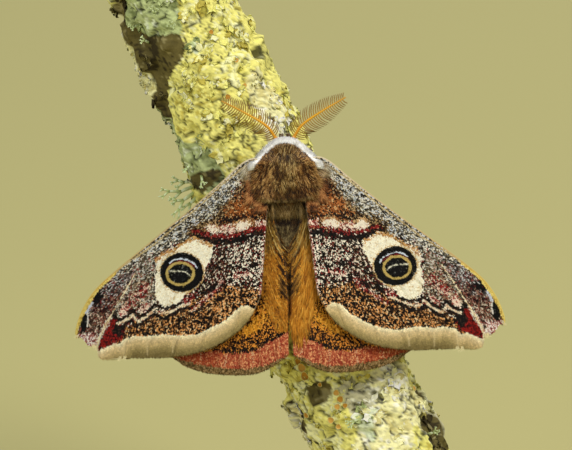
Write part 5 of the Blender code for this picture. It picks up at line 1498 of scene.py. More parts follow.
BARK_TONES = shades((0.35, 62, 54, 32), (0.4, 104, 94, 52), (0.25, 146, 136, 92))
YELLOW_TONES = shades((0.2, 198, 184, 84), (0.45, 242, 236, 136), (0.35, 254, 253, 190))
CREAM_TONES = shades((0.25, 224, 214, 146), (0.45, 250, 246, 186), (0.3, 255, 254, 232))
MINT_TONES = shades((0.25, 130, 140, 88), (0.45, 184, 196, 138), (0.3, 232, 242, 208))
GREY_TONES = shades((0.3, 150, 146, 112), (0.4, 200, 196, 160), (0.3, 240, 240, 218))
CUP_TONES = shades((0.5, 190, 138, 52), (0.5, 214, 166, 82))
LICHEN_SPOTS = (
    # kind, way along, angle, reach along, reach round, strength
    (0, 26.5, -0.65, 3.4, 0.7, 0.9),
    (0, 11.3, -0.8, 1.5, 0.4, 0.8),
    (0, -16.2, -0.45, 1.4, 0.28, 0.8),
    (0, -26.4, 1.1, 2.4, 0.35, 0.8),
    (1, 17.5, -0.5, 4.0, 0.5, 0.4),
    (3, 31.2, -0.55, 2.4, 0.4, 1.3),
    (3, 14.4, -1.05, 2.4, 0.35, 0.8),
)
CUPS_ON_PLATE = [(296, 362, 0.42), (300, 368, 0.55), (302, 377, 0.55), (333.5, 393.5, 0.36),
                 (337, 400, 0.4), (335, 407, 0.36), (341.5, 406.6, 0.3), (330, 419.6, 0.4),
                 (308, 414, 0.36), (334.6, 427.7, 0.34), (318, 385, 0.26), (404, 396, 0.3),
                 (372, 418, 0.28), (240, 60, 0.3), (232, 96, 0.34), (262, 118, 0.28), (218, 30, 0.3),
                 (250, 84, 0.25)]
BRANCH_FARTHER = 1.016
TURN_UP = math.radians(BRANCH_TURN_DEG)
BRANCH_UP = np.array((-math.sin(TURN_UP), math.cos(TURN_UP), 0.0))
BRANCH_ACROSS = np.array((math.cos(TURN_UP), math.sin(TURN_UP), 0.0))
MOTH_BACK = np.array((0.0, 0.0, 1.0))
ROSETTES = 620
CUP_RIM = tone(224, 216, 142)
CUP_LIFT = 0.3
CUP_SIDES = 18
CUP_PROFILE = ((0.0, 0.02), (0.55, 0.02), (0.8, 0.08), (0.92, 0.24), (1.0, 0.22), (0.98, 0.05), (0.5, -0.35))
CUP_FLOOR_STEPS = 3
SPRIG_TONES = np.array((tone(156, 172, 104), tone(184, 200, 136), tone(210, 224, 174), tone(228, 240, 206)))
SMALL_SPRIGS = (
    # place on the plate, way it grows
    (340, 421, (0.9, 0.1, 0.45)),
    (356, 420, (-0.7, -0.3, 0.5)),
    (150, 40, (-0.5, 0.3, 0.8)),
    (160, 14, (0.1, 0.6, 0.7)),
    (196, 160, (-0.4, -0.4, 0.7)),
    (424, 440, (0.6, 0.2, 0.6)),
    (172, 24, (0.5, 0.2, 0.7)),
    (140, 22, (-0.7, -0.1, 0.6)),
    (205, 172, (0.2, -0.6, 0.6)),
)
WOOD_PALE, WOOD_RING, WOOD_RIM = tone(196, 168, 120), tone(150, 116, 72), tone(84, 66, 42)


def bark_spot(along, angle):
    """The unwrap place of the branch's surface."""
    share = (along - BRANCH_LOW) / (BRANCH_HIGH - BRANCH_LOW)
    return np.stack((0.01 + 0.8 * share, 0.01 + 0.98 * np.mod(angle, 2 * np.pi) / (2 * np.pi)), axis=-1)


def cloud(points):
    """Smooth noise about zero at places given as rows."""
    values = [noise.noise(place) for place in points.reshape(-1, 3).tolist()]
    return np.array(values).reshape(points.shape[:-1])


def lichen_crust(along, angle):
    """How far crusts of lichen stand out of the bark."""
    spot = np.stack((np.cos(angle) * BRANCH_RADIUS, np.sin(angle) * BRANCH_RADIUS, along), axis=-1) * 0.23
    patch = cloud(spot) + 0.5 * cloud(spot * 2.1 + (9, 2, 5))
    return LICHEN_RELIEF * ease(-0.1, 0.08, patch) * (1 + 0.4 * cloud(spot * 5))


def bark_radius(along, angle):
    """The branch's radius, with its humps and crusts."""
    spot = np.stack((np.cos(angle) * 2.2, np.sin(angle) * 2.2, along * 0.28), axis=-1)
    hump = cloud(spot) * BARK_RELIEF + cloud(spot * 2.3) * BARK_RELIEF * 0.45
    taper = 1 - 0.0016 * (along - BRANCH_LOW)
    return BRANCH_RADIUS * taper + hump + lichen_crust(along, angle)


def on_bark(along, angle, lift=0.0):
    """Places on the branch, by the way along it and the angle round it; angle 0 is under the moth."""
    along, angle = np.broadcast_arrays(np.asarray(along, float), np.asarray(angle, float))
    out = MOTH_BACK * np.cos(angle)[..., None] + BRANCH_ACROSS * np.sin(angle)[..., None]
    centre = BRANCH_UP * along[..., None] - MOTH_BACK * BRANCH_DEPTH
    return centre + out * (bark_radius(along, angle) + lift)[..., None]


def bark_under(x, y, lift=0.0):
    """The place on the branch right under a place of the moth's plan."""
    place = np.array((x, y, 0.0))
    angle = math.asin(min(max(place @ BRANCH_ACROSS / BRANCH_RADIUS, -0.95), 0.95))
    return on_bark(place @ BRANCH_UP, angle, lift)


def bark_from_plate(px, py):
    """The way along and the angle round the branch, which lies farther off, under a place of the plate."""
    place = np.array(((px - PLATE_ORIGIN[0]) * PLATE_UNIT, (PLATE_ORIGIN[1] - py) * PLATE_UNIT, 0.0))
    place = place * BRANCH_FARTHER
    return place @ BRANCH_UP, math.asin(min(max(place @ BRANCH_ACROSS / BRANCH_RADIUS, -0.98), 0.98))


def cell_gap(x, y, seed):
    """For scattered cells of size one: how near a place is to its cell's edge, and the cell's number."""
    best, second, owner = np.full(x.shape, 9.0), np.full(x.shape, 9.0), np.zeros(x.shape)
    base_x, base_y = np.floor(x), np.floor(y)
    for step_x in (-1, 0, 1):
        for step_y in (-1, 0, 1):
            cell = [base_x + step_x, base_y + step_y]
            gap = np.hypot(cell[0] + hashed(cell, seed) - x, cell[1] + hashed(cell, seed + 1) - y)
            nearer = gap < best
            second = np.where(nearer, best, np.minimum(second, gap))
            owner = np.where(nearer, hashed(cell, seed + 2), owner)
            best = np.where(nearer, gap, best)
    return second - best, owner


def lichen_kind(along, angle):
    """How far bark, yellow, cream, mint or grey lichen takes each place, as weights."""
    arc = angle * BRANCH_RADIUS
    broad = [grain(along * 0.16 + 31 * k, arc * 0.2, seed=400 + k) for k in range(5)]
    upper = ease(6, 14, along)
    # Painted light and shade: on the side of the branch towards the key light the paler cream lichen gains
    # ground, and on the upper part the darker mint lichen gains on the side away from it.
    lit = ease(-0.2, 0.9, angle)
    kinds = [0.9 * broad[0] + 0.3 * upper * ease(0.45, 1.0, -angle) - 0.08,
             broad[1] + 0.26 - 0.06 * upper,
             broad[2] + 0.22 * upper * lit + 0.14 * (1 - upper) * lit - 0.02,
             0.95 * broad[3] + 0.16 * upper * (1 - lit) - 0.16 * (1 - upper) - 0.08,
             broad[4] - 0.14]
    for kind, at_along, at_angle, long, wide, strength in LICHEN_SPOTS:
        nearness = np.exp(-((along - at_along) / long) ** 2 - ((angle - at_angle) / wide) ** 2)
        kinds[kind] = kinds[kind] + strength * nearness
    return np.stack(kinds, axis=-1)


def lichen_tones(along, angle, pick):
    """The colour of each place by its kind of lichen or bark, and that kind."""
    kind = np.argmax(lichen_kind(along, angle), axis=-1)
    colours = np.zeros(pick.shape + (3,))
    for index, palette in enumerate((BARK_TONES, YELLOW_TONES, CREAM_TONES, MINT_TONES, GREY_TONES)):
        colours = np.where((kind == index)[..., None], choose(palette, pick), colours)
    return colours, kind


def make_branch_skin(look):
    """The branch's surface: bark with cracked crusts of lichen, and its sawn ends."""
    rows, sides = ((250, 180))
    along, angle = np.meshgrid(np.linspace(BRANCH_LOW, BRANCH_HIGH, rows),
                               np.linspace(0, 2 * np.pi, sides, endpoint=False), indexing="ij")
    wrapped = np.where(angle > np.pi, angle - 2 * np.pi, angle)
    arc = wrapped * BRANCH_RADIUS
    bent_along = along / 2.9 + 0.5 * grain(along * 1.1, arc * 1.1, seed=3)
    bent_arc = arc / 2.4 + 0.5 * grain(along * 1.1, arc * 1.1, seed=4)
    gap, owner = cell_gap(bent_along, bent_arc, 55)
    small, small_owner = cell_gap(along / 0.55, arc / 0.5, 57)
    pick = 0.45 * owner + 0.35 * small_owner + 0.4 * grain(along * 3, arc * 3, seed=8) - 0.1
    pick = np.clip(pick, 0, 0.999)
    colours, kind = lichen_tones(along, wrapped, pick)
    plate = np.where(kind == 0, 0.25, 1.0)
    crack = 1 - ease(0.02, 0.1, gap)
    pore = 1 - ease(0.02, 0.16, small)
    ridges = np.abs(grain(along * 0.5, arc * 2.2, seed=12) - 0.5) * 2
    relief = plate * (0.22 * ease(0.0, 0.14, gap) + 0.08 * ease(0, 0.3, small) - 0.16)
    relief = relief - (1 - plate) * 0.25 * ridges
    colours = colours * (1 - 0.88 * crack * plate)[..., None] * (1 - 0.4 * pore * plate)[..., None]
    colours = colours * (0.85 + 0.35 * grain(along * 5, arc * 5, seed=14))[..., None]
    points = on_bark(along, wrapped, relief)
    bag = Bag()
    spots = bark_spot(along, angle)
    points, colours, spots = (np.concatenate((g, g[:, :1]), axis=1) for g in (points, colours, spots))
    spots[:, -1, 1] = 0.995
    bag.grid(points[:, ::-1], colours[:, ::-1], spots[:, ::-1])
    for end, row in ((0, 0), (1, -1)):
        rim = points[row, :-1]
        middle = rim.mean(axis=0)
        steps = np.linspace(0, 1, 14)[:, None, None]
        disc = middle + (rim - middle)[None] * steps
        waver = grain(disc[..., 0:1] * 0.8, disc[..., 1:2] * 0.8, seed=15)
        rings = 0.5 + 0.5 * np.sin(steps * 22 + 1.5 * waver)
        wood = WOOD_PALE * (1 - rings) + WOOD_RING * rings
        wood = np.where(steps > 0.93, WOOD_RIM, wood)
        centre = np.array((0.9, 0.25 + 0.5 * end))
        turn = np.linspace(0, 2 * np.pi, disc.shape[1], endpoint=False)[None, :, None]
        spots = centre + 0.08 * steps * np.concatenate((np.cos(turn), np.sin(turn)), axis=-1)
        order = slice(None, None, 1 if end else -1)
        bag.grid(disc[:, order], np.broadcast_to(wood, disc.shape)[:, order], spots[:, order], wrap=True)
    make_piece("branch_bark", bag, look, ["perch_branch"])


def add_lobes(bag, along, angle, azimuth, lengths, widths, curl, colours, seed):
    """Thin closed lobes that lie on the branch, with rounded and notched ends that curl up."""
    count = len(along)
    rows = 4
    s, t = np.meshgrid(np.linspace(0, 1, rows), np.linspace(-1, 1, rows), indexing="ij")
    s, t = s[None], t[None]
    phase = dice(count, seed)[:, None, None] * 6
    reach = lengths[:, None, None] * (1 - 0.2 * t**2 + 0.1 * np.cos(7 * t + phase) * s)
    rounding = np.sqrt(np.clip(1.02 - np.clip((s - 0.7) / 0.3, 0, 1) ** 2, 0, 1))
    half = widths[:, None, None] * 0.5 * (0.35 + 0.65 * s**0.7) * rounding
    forward, aside = s * reach, t * (half + 0.02)
    cos, sin = np.cos(azimuth)[:, None, None], np.sin(azimuth)[:, None, None]
    step_along = forward * cos - aside * sin
    step_round = forward * sin + aside * cos
    lift = (0.05 + curl[:, None, None] * (0.25 * s + 0.75 * s**3) + 0.10 * t**2 * s
            + 0.05 * np.sin(5 * forward / lengths[:, None, None] + phase + 3 * t))
    a = along[:, None, None] + step_along
    b = angle[:, None, None] + step_round / BRANCH_RADIUS
    radius = bark_radius(along, angle)[:, None, None]
    out = MOTH_BACK * np.cos(b)[..., None] + BRANCH_ACROSS * np.sin(b)[..., None]
    centre = BRANCH_UP * a[..., None] - MOTH_BACK * BRANCH_DEPTH
    top = centre + out * (radius + lift)[..., None]
    under = centre + out * (radius + lift - 0.09)[..., None]
    # Painted shade and highlight: each lobe is darker towards its root and lighter towards its tip, lightest
    # along its curled rims.
    rim_light = np.maximum(s, np.abs(t)) ** 4
    tint = np.clip(colours[:, None, None] * (0.78 + 0.2 * s + 0.24 * rim_light)[..., None], 0, 0.95)
    index = np.arange(rows * rows).reshape(rows, rows)
    quads = np.stack((index[:-1, :-1], index[1:, :-1], index[1:, 1:], index[:-1, 1:]), axis=-1)
    quads = quads.reshape(-1, 4)
    rim = rim_of(index)
    after = np.roll(rim, -1)
    shift = rows * rows
    walls = np.column_stack((rim, after, after + shift, rim + shift))
    faces = np.concatenate((quads, quads[:, ::-1] + shift, walls))
    start = np.arange(count)[:, None, None] * 2 * shift
    patch = np.stack((s[0], 0.5 + 0.5 * t[0]), axis=-1).reshape(-1, 2) * PATCH
    patch = np.concatenate((patch, patch))
    tint = tint.reshape(count, -1, 3)
    points = np.concatenate((top.reshape(count, -1, 3), under.reshape(count, -1, 3)), axis=1)
    # The lobe's underside takes its colour darkened further, as painted shade.
    bag.add(points.reshape(-1, 3), [(start + faces[None]).reshape(-1, 4)],
            np.concatenate((tint, 0.7 * tint), axis=1).reshape(-1, 3),
            (bark_spot(along, angle)[:, None] + patch[None]).reshape(-1, 2))


def make_lichen(look, rng):
    """Rosettes of leafy lobes over the branch, thickest where the lichen is yellow or cream."""
    bag = Bag()
    along = rng.uniform(BRANCH_LOW + 1, BRANCH_HIGH - 1, ROSETTES)
    angle = rng.uniform(-np.pi, np.pi, ROSETTES)
    _, kind = lichen_tones(along, angle, np.full(ROSETTES, 0.5))
    kept = (kind > 0) | (rng.uniform(0, 1, ROSETTES) < 0.25)
    along, angle = along[kept], angle[kept]
    lobes = rng.integers(4, 8, len(along))
    owner = np.repeat(np.arange(len(along)), lobes)
    count = len(owner)
    azimuth = rng.uniform(0, 2 * np.pi, count)
    size = rng.uniform(0.42, 1.2, len(along))[owner]
    spread = 0.25 * size
    a = along[owner] + spread * np.cos(azimuth)
    b = angle[owner] + spread * np.sin(azimuth) / BRANCH_RADIUS
    colours, _ = lichen_tones(along[owner], angle[owner], rng.uniform(0, 0.999, count))
    colours = colours * rng.uniform(0.92, 1.18, (count, 1))
    add_lobes(bag, a, b, azimuth, size * rng.uniform(0.8, 1.3, count), size * rng.uniform(0.7, 1.15, count),
              rng.uniform(0.03, 0.4, count) * size, colours, 600)
    make_piece("branch_lichen", bag, look)


def make_cups(look):
    """Small fruiting cups of the lichen, orange with paler rims."""
    bag = Bag()
    turn = np.linspace(0, 2 * np.pi, CUP_SIDES, endpoint=False)
    reaches = np.array([reach for reach, _ in CUP_PROFILE])[:, None]
    for index, (px, py, size) in enumerate(CUPS_ON_PLATE):
        along, angle = bark_from_plate(px, py)
        centre = on_bark(along, angle, CUP_LIFT)
        out = MOTH_BACK * math.cos(angle) + BRANCH_ACROSS * math.sin(angle)
        tangent = np.cross(out, BRANCH_UP)
        rings = []
        wave = 1 + 0.08 * np.sin(3 * turn + index)
        for reach, lift in CUP_PROFILE:
            ring = (centre + size * reach * (wave * np.cos(turn))[:, None] * BRANCH_UP
                    + size * reach * (wave * np.sin(turn))[:, None] * tangent + size * 1.5 * lift * out)
            rings.append(ring)
        colours = np.tile(CUP_RIM, (len(CUP_PROFILE), 1, 1))
        colours[:CUP_FLOOR_STEPS] = choose(CUP_TONES, np.array([0.3 + 0.4 * (index % 2)]))
        spread = np.stack((reaches * np.cos(turn), reaches * np.sin(turn)), axis=-1)
        bag.grid(np.stack(rings), colours, bark_spot(along, angle) + 2 * PATCH * spread, wrap=True)
    make_piece("branch_cups", bag, look)


def add_tube(bag, path, radii, colours, spot, sides=10, flat=1.0, patch=PATCH):
    """A closed tapering tube along a path; flat below one makes it a ribbon."""
    path, radii = np.asarray(path, float), np.asarray(radii, float)
    ahead = unit(np.gradient(path, axis=0))
    helper = np.where(np.abs(ahead[:, 2:]) > 0.85, (1.0, 0.0, 0.0), (0.0, 0.0, 1.0))
    aside = unit(np.cross(ahead, helper))
    upward = np.cross(aside, ahead)
    turn = np.linspace(0, 2 * np.pi, sides, endpoint=False)
    reach = np.concatenate(([0.0], radii, [0.0]))[:, None, None]
    spine = np.concatenate((path[:1], path, path[-1:]))[:, None]
    aside, upward = (np.concatenate((g[:1], g, g[-1:]))[:, None] for g in (aside, upward))
    rings = spine + reach * (aside * np.cos(turn)[None, :, None]
                             + flat * upward * np.sin(turn)[None, :, None])
    colours = np.broadcast_to(colours, path.shape)
    colours = np.concatenate((colours[:1], colours, colours[-1:]))[:, None]
    level = np.linspace(0, 1, len(rings))[:, None] + 0 * turn
    around = 0 * level + (turn / (2 * np.pi))[None]
    spots = np.asarray(spot) + np.stack((around, level), axis=-1) * patch
    bag.grid(rings, np.broadcast_to(colours, rings.shape), spots, wrap=True)


def make_sprig(look, rng):
    """A pale tuft of forked lobes that stands out from the branch's side."""
    bag = Bag()

    def fork(start, way, length, width, depth):
        """One flat lobe that splits in two at its end, as many times as its depth."""
        bend = unit(rng.normal(0, 1, 3)) * 0.18
        path = [start + way * length * s + bend * length * s * s for s in (0, 0.35, 0.7, 1.0)]
        shade = rng.uniform(0.85, 1.1)
        radii = np.array((1.0, 0.85, 0.9, 0.55 if depth else 0.2)) * width
        spot = (0.84 + rng.uniform(0, 0.1), 0.03 + rng.uniform(0, 0.1))
        add_tube(bag, path, radii, SPRIG_TONES * shade, spot, sides=6, flat=0.4)
        if depth == 0:
            return
        for split in (-1, 1):
            across = unit(np.cross(way, MOTH_BACK) + 0.3 * bend)
            turned = unit(way + bend + split * rng.uniform(0.35, 0.6) * across)
            fork(path[-1] - 0.05 * way, turned, length * rng.uniform(0.5, 0.75), width * 0.75, depth - 1)

    for index, length in enumerate((3.4, 4.2, 4.0, 3.0)):
        foot = on_bark(10 + 0.5 * index, math.radians(-82), -0.4)
        rise = 0.25 - 0.15 * (index % 2)
        way = unit(BRANCH_UP * (index - 1.6) * 0.42 - BRANCH_ACROSS + MOTH_BACK * rise)
        fork(foot, way, length=length * 0.45, width=0.24, depth=3)
    for px, py, way in SMALL_SPRIGS:
        along, angle = bark_from_plate(px, py)
        fork(on_bark(along, angle, -0.1), unit(np.array(way)), length=0.85, width=0.17, depth=3)
    make_piece("branch_sprig", bag, look)


def make_perch():
    """The cut length of branch with everything that grows on it."""
    look = painted_look("lichened bark", roughness=0.88, bump_scale=5200.0, bump_strength=0.5,
                        bump_depth=0.00008, vary=0.16, specular=0.18)
    rng = np.random.default_rng(17)
    make_branch_skin(look)
    make_lichen(look, rng)
    make_cups(look)
    make_sprig(look, rng)


# Head, antennae and legs

STEM_TONES = (tone(232, 158, 38), tone(226, 168, 40), tone(196, 146, 52))
RAMUS_ROOT, RAMUS_TIP = tone(186, 146, 60), tone(120, 88, 38)
LEG_TONES = shades((0.35, 84, 52, 32), (0.4, 128, 86, 54), (0.25, 176, 140, 100))
LEG_HORN = tone(92, 56, 34)
LEG_CLAW, LEG_PAD = tone(48, 28, 18), tone(120, 90, 60)
EYE_TONES = (tone(26, 18, 12), tone(74, 52, 34))
PALP_TONE = tone(96, 66, 40)
RAMI_A_SIDE = 27
RAMUS_WIDTH = 0.14
BRISTLE_WIDTH = 0.022
BRISTLE_LENGTH = 0.17
LEG_HAIRS = 950


def make_antennae(look):
    """Feathered antennae: a stem, its two rows of side branches, and fine bristles on each branch."""
    rng = np.random.default_rng(27)
    for tag, side in SIDES:
        bag = Bag()
        stem = Path([(side * x, y, z) for x, y, z in ANTENNA_STEM])
        s = np.linspace(0, 1, 110)
        radii = np.interp(s, (0, 0.04, 0.09, 0.12, 1), (0.28, 0.32, 0.25, 0.16, 0.08))
        radii = radii * (1 + 0.07 * np.sin(s * 260))
        tints = np.stack([np.interp(s, (0, 0.5, 1), [t[c] for t in STEM_TONES]) for c in range(3)], axis=-1)
        add_tube(bag, stem.at(s), radii, tints, spot=(0.1, 0.1), patch=0.2)
        spines = []
        for row in (0, 1):
            for index in range(RAMI_A_SIDE):
                share = 0.11 + 0.87 * (index + 0.5 * row) / RAMI_A_SIDE
                ahead = unit(stem.at(share + 0.02) - stem.at(share - 0.02))
                outer = unit(np.cross(ahead, MOTH_BACK)) * side
                way = -outer if row else outer
                lean = math.radians((60 if row else 75) + rng.normal(0, 1.6))
                reach = np.interp(share, np.linspace(0, 1, 7), RAMUS_LENGTHS) * (0.92 if row else 1.0)
                ray = ahead * math.cos(lean) + way * math.sin(lean)
                t = np.linspace(0, 1, 7)[:, None]
                bow = 0.10 * reach * np.sin(np.pi * t) * -ahead
                spines.append(stem.at(share) + ray * reach * t + bow - 0.14 * reach * t**2.5 * MOTH_BACK
                              + 0.1 * reach * t**2 * ahead)
        spines = np.array(spines)
        count = len(spines)
        spots = np.column_stack((rng.uniform(0.4, 0.9, count), rng.uniform(0.1, 0.9, count)))
        add_strands(bag, spines, np.full(count, RAMUS_WIDTH), np.tile(RAMUS_ROOT, (count, 1)),
                    np.tile(RAMUS_TIP, (count, 1)), spots, taper=(1.1, 1.0, 0.95, 0.85, 0.6))
        bristles = []
        for k in range(1, 12):
            near, far = spines[:, k // 2], spines[:, min(k // 2 + 1, 6)]
            place = near + (far - near) * (0.5 * (k % 2))
            ahead = unit(spines[:, -1] - spines[:, 0])
            aside = unit(np.cross(ahead, MOTH_BACK))
            for way in (-1, 1):
                ray = unit(0.7 * way * aside + 0.6 * ahead - 0.35 * MOTH_BACK)
                t = np.array((0, 0.5, 1.0))[None, :, None]
                bristles.append(place[:, None] + ray[:, None] * BRISTLE_LENGTH * t)
        bristles = np.concatenate(bristles)
        many = len(bristles)
        spots = np.column_stack((rng.uniform(0.4, 0.9, many), rng.uniform(0.1, 0.9, many)))
        add_strands(bag, bristles, np.full(many, BRISTLE_WIDTH), np.tile(RAMUS_ROOT, (many, 1)),
                    np.tile(RAMUS_TIP, (many, 1)), spots, taper=(1.0, 0.7))
        make_piece(f"antenna_{tag}_feather", bag, look, [f"antenna_{tag}"])


def leg_route(hip, foot):
    """A leg's path from its hip over the knee to a foot that lies on the bark."""
    hip = np.array(hip)
    side = 1 if hip[0] > 0 else -1
    ankle = bark_under(foot[0], foot[1], 0.67)
    away = np.array((side * 0.55, 0.45 if foot[1] > 10 else (-0.5 if foot[1] < 5 else 0.1)))
    toe = bark_under(foot[0] + away[0], foot[1] + away[1], 0.57)
    claw = bark_under(foot[0] + 1.9 * away[0], foot[1] + 1.9 * away[1], 0.4)
    knee = (hip + ankle) / 2 + np.array((side * 0.9, (ankle[1] - hip[1]) * 0.15, 0.7))
    return Path([hip, (hip + knee) / 2 + (0, 0, 0.1), knee, knee + (ankle - knee) * 0.55, ankle, toe, claw])


def make_legs(look, hair_look):
    """Each leg as a jointed tube with two claws and a pad, and the hair along it."""
    rng = np.random.default_rng(37)
    for name, (hip, foot) in LEGS.items():
        bag = Bag()
        route = leg_route(hip, foot)
        s = np.linspace(0, 0.97, 90)
        radii = np.interp(s, (0, 0.12, 0.3, 0.42, 0.5, 0.6, 0.72, 0.8, 0.97),
                          (0.3, 0.42, 0.4, 0.30, 0.32, 0.33, 0.24, 0.2, 0.16))
        joints = 1 - 0.22 * ease(0.72, 0.76, s) * (np.abs(np.sin((s - 0.72) * 60)) < 0.3)
        pale = 0.5 + 0.5 * np.sin(s * 46)
        tints = LEG_HORN[None] * (0.8 + 0.7 * (pale * (s > 0.7))[:, None])
        add_tube(bag, route.at(s), radii * joints, tints, spot=(0.2, 0.1), sides=12, patch=0.2)
        end, ahead = route.at(0.97), unit(route.at(1.0) - route.at(0.94))
        aside = unit(np.cross(ahead, MOTH_BACK))
        for way in (-1, 1):
            claw = [end + aside * way * 0.07, end + aside * way * 0.2 + ahead * 0.14 + 0.05 * MOTH_BACK,
                    end + aside * way * 0.24 + ahead * 0.3 - 0.02 * MOTH_BACK,
                    end + aside * way * 0.2 + ahead * 0.36 - 0.16 * MOTH_BACK]
            add_tube(bag, claw, (0.07, 0.06, 0.045, 0.015), LEG_CLAW, spot=(0.6, 0.1), sides=8, patch=0.1)
        pad = [end - 0.1 * ahead, end + 0.05 * ahead, end + 0.16 * ahead]
        add_tube(bag, pad, (0.12, 0.15, 0.1), LEG_PAD, spot=(0.8, 0.1), sides=8, patch=0.1)
        make_piece(f"{name}_horn", bag, look, [name])
        bag = Bag()
        count = LEG_HAIRS
        share = rng.uniform(0.02, 0.9, count)
        turn = rng.uniform(0, 2 * np.pi, count)
        centre, ahead = route.at(share), unit(route.at(share + 0.02) - route.at(share - 0.02))
        aside = unit(np.cross(ahead, np.tile(MOTH_BACK, (count, 1))))
        upward = np.cross(aside, ahead)
        out = aside * np.cos(turn)[:, None] + upward * np.sin(turn)[:, None]
        reach = np.interp(share, (0, 0.12, 0.3, 0.6, 0.72, 0.97), (0.26, 0.38, 0.36, 0.28, 0.2, 0.14))
        lengths = np.interp(share, (0, 0.6, 0.72, 0.9), (0.9, 0.75, 0.35, 0.25))[:, None]
        lengths = lengths * rng.uniform(0.6, 1.2, (count, 1))
        ray = unit(ahead + out * rng.uniform(0.15, 0.45, (count, 1)))
        paths = (centre + out * reach[:, None])[:, None] + ray[:, None] * (lengths * SHORT_STEPS)[..., None]
        colours = choose(LEG_TONES, rng.uniform(0, 0.999, count))
        spots = np.column_stack((0.05 + 0.9 * share, 0.05 + 0.9 * turn / (2 * np.pi)))
        # Painted shade: each hair is darker at its root, where it lies in the shade of the others.
        add_strands(bag, paths, rng.uniform(0.045, 0.075, count), colours * 0.7, colours, spots)
        make_piece(f"{name}_hair", bag, hair_look)


def make_eyes():
    """Large round compound eyes, with a fine pattern of facets."""
    look, tree, shader = new_look("eye", roughness=0.16, specular=0.6, coat=0.5)
    place = add_node(tree, "ShaderNodeTexCoord")
    facets = add_node(tree, "ShaderNodeTexVoronoi", Scale=17000.0)
    tree.links.new(place.outputs["Object"], facets.inputs["Vector"])
    blend_tones(tree, shader, noise_height(tree, 1800.0), EYE_TONES)
    add_bump(tree, shader, facets.outputs["Distance"], strength=0.5, distance=0.00002)
    rise, turn = np.meshgrid(np.linspace(0, np.pi, 28), np.linspace(0, 2 * np.pi, 44, endpoint=False),
                             indexing="ij")
    for tag, side in SIDES:
        centre = np.array((side * EYE_AT[0], EYE_AT[1], EYE_AT[2]))
        ball = np.stack((np.cos(rise) * side, np.sin(rise) * np.cos(turn),
                         1.04 * np.sin(rise) * np.sin(turn)), axis=-1)
        bag = Bag()
        spots = np.stack((0.02 + 0.96 * turn / (2 * np.pi), 0.02 + 0.96 * rise / np.pi), axis=-1)
        bag.grid(centre + EYE_RADIUS * ball, tone(40, 28, 18), spots, wrap=True)
        make_piece(f"eye_{tag}_facets", bag, look, [f"eye_{tag}"])


def make_head_coat(look, rng):
    """Short hair over the face, round the eyes, between the antennae, and the two hairy palps."""
    bag = Bag()
    count = hair_count(5500)
    y, turn = rng.uniform(9.9, 12.5, count), rng.uniform(0, 2 * np.pi, count)
    place = body_point(y, turn)
    eye = np.linalg.norm(np.abs(place) * (1, 1, 0) + place * (0, 0, 1) - np.array(EYE_AT), axis=1)
    kept = eye > EYE_RADIUS * 1.02
    y, turn = y[kept], turn[kept]
    near = ease(11.4, 12.4, y)
    lengths = rng.uniform(0.35, 0.75, len(y)) * (1 - 0.3 * near)
    comb_round(bag, rng, y, turn, run=0.75, swing=0.25 * np.sin(turn), lengths=lengths,
               lifts=(-0.25, 0.03, 0.1, 0.12), widths=0.05, seed=111, colours=FACE)
    for side in (-1, 1):
        palp = Path([(side * 0.3, 12.1, -2.0), (side * 0.38, 12.6, -2.25), (side * 0.36, 12.95, -2.2)])
        s = np.linspace(0, 1, 9)
        radii = np.interp(s, (0, 0.5, 1), (0.16, 0.18, 0.1))
        add_tube(bag, palp.at(s), radii, PALP_TONE, spot=(0.3, 0.9), patch=0.02)
        many = hair_count(700)
        share, around = rng.uniform(0, 0.95, many), rng.uniform(0, 2 * np.pi, many)
        out = np.stack((np.cos(around), 0 * around, np.sin(around)), axis=-1)
        ray = unit(np.array((side * 0.05, 1.0, -0.1)) + out * 0.4)
        reach = rng.uniform(0.2, 0.42, (many, 1)) * SHORT_STEPS
        paths = (palp.at(share) + out * 0.13)[:, None] + ray[:, None] * reach[..., None]
        colours = choose(FACE, rng.uniform(0, 0.999, many))
        spots = np.column_stack((0.3 + 0.1 * share, 0.9 + 0.05 * around / 7))
        # Painted shade: each hair is darker at its root, where it lies in the shade of the others.
        add_strands(bag, paths, rng.uniform(0.03, 0.05, many), colours * 0.7, colours, spots)
    make_piece("coat_head", bag, look)


# Stand

WOOD_TONES = (tone(58, 36, 22), tone(98, 64, 40))
BRASS_TONES = (tone(186, 150, 88), tone(208, 176, 112))
LATHE_SIDES = 160
GROOVE_IN = 3.0
GROOVE_HALF = 0.3
GROOVE_DEPTH = 0.35
SHARP_DEG = 35
FERRULE = ((1.72, 5.02), (3.0, 5.02), (3.05, 5.35), (2.8, 5.7), (2.2, 5.85), (1.9, 6.2), (1.72, 6.25))


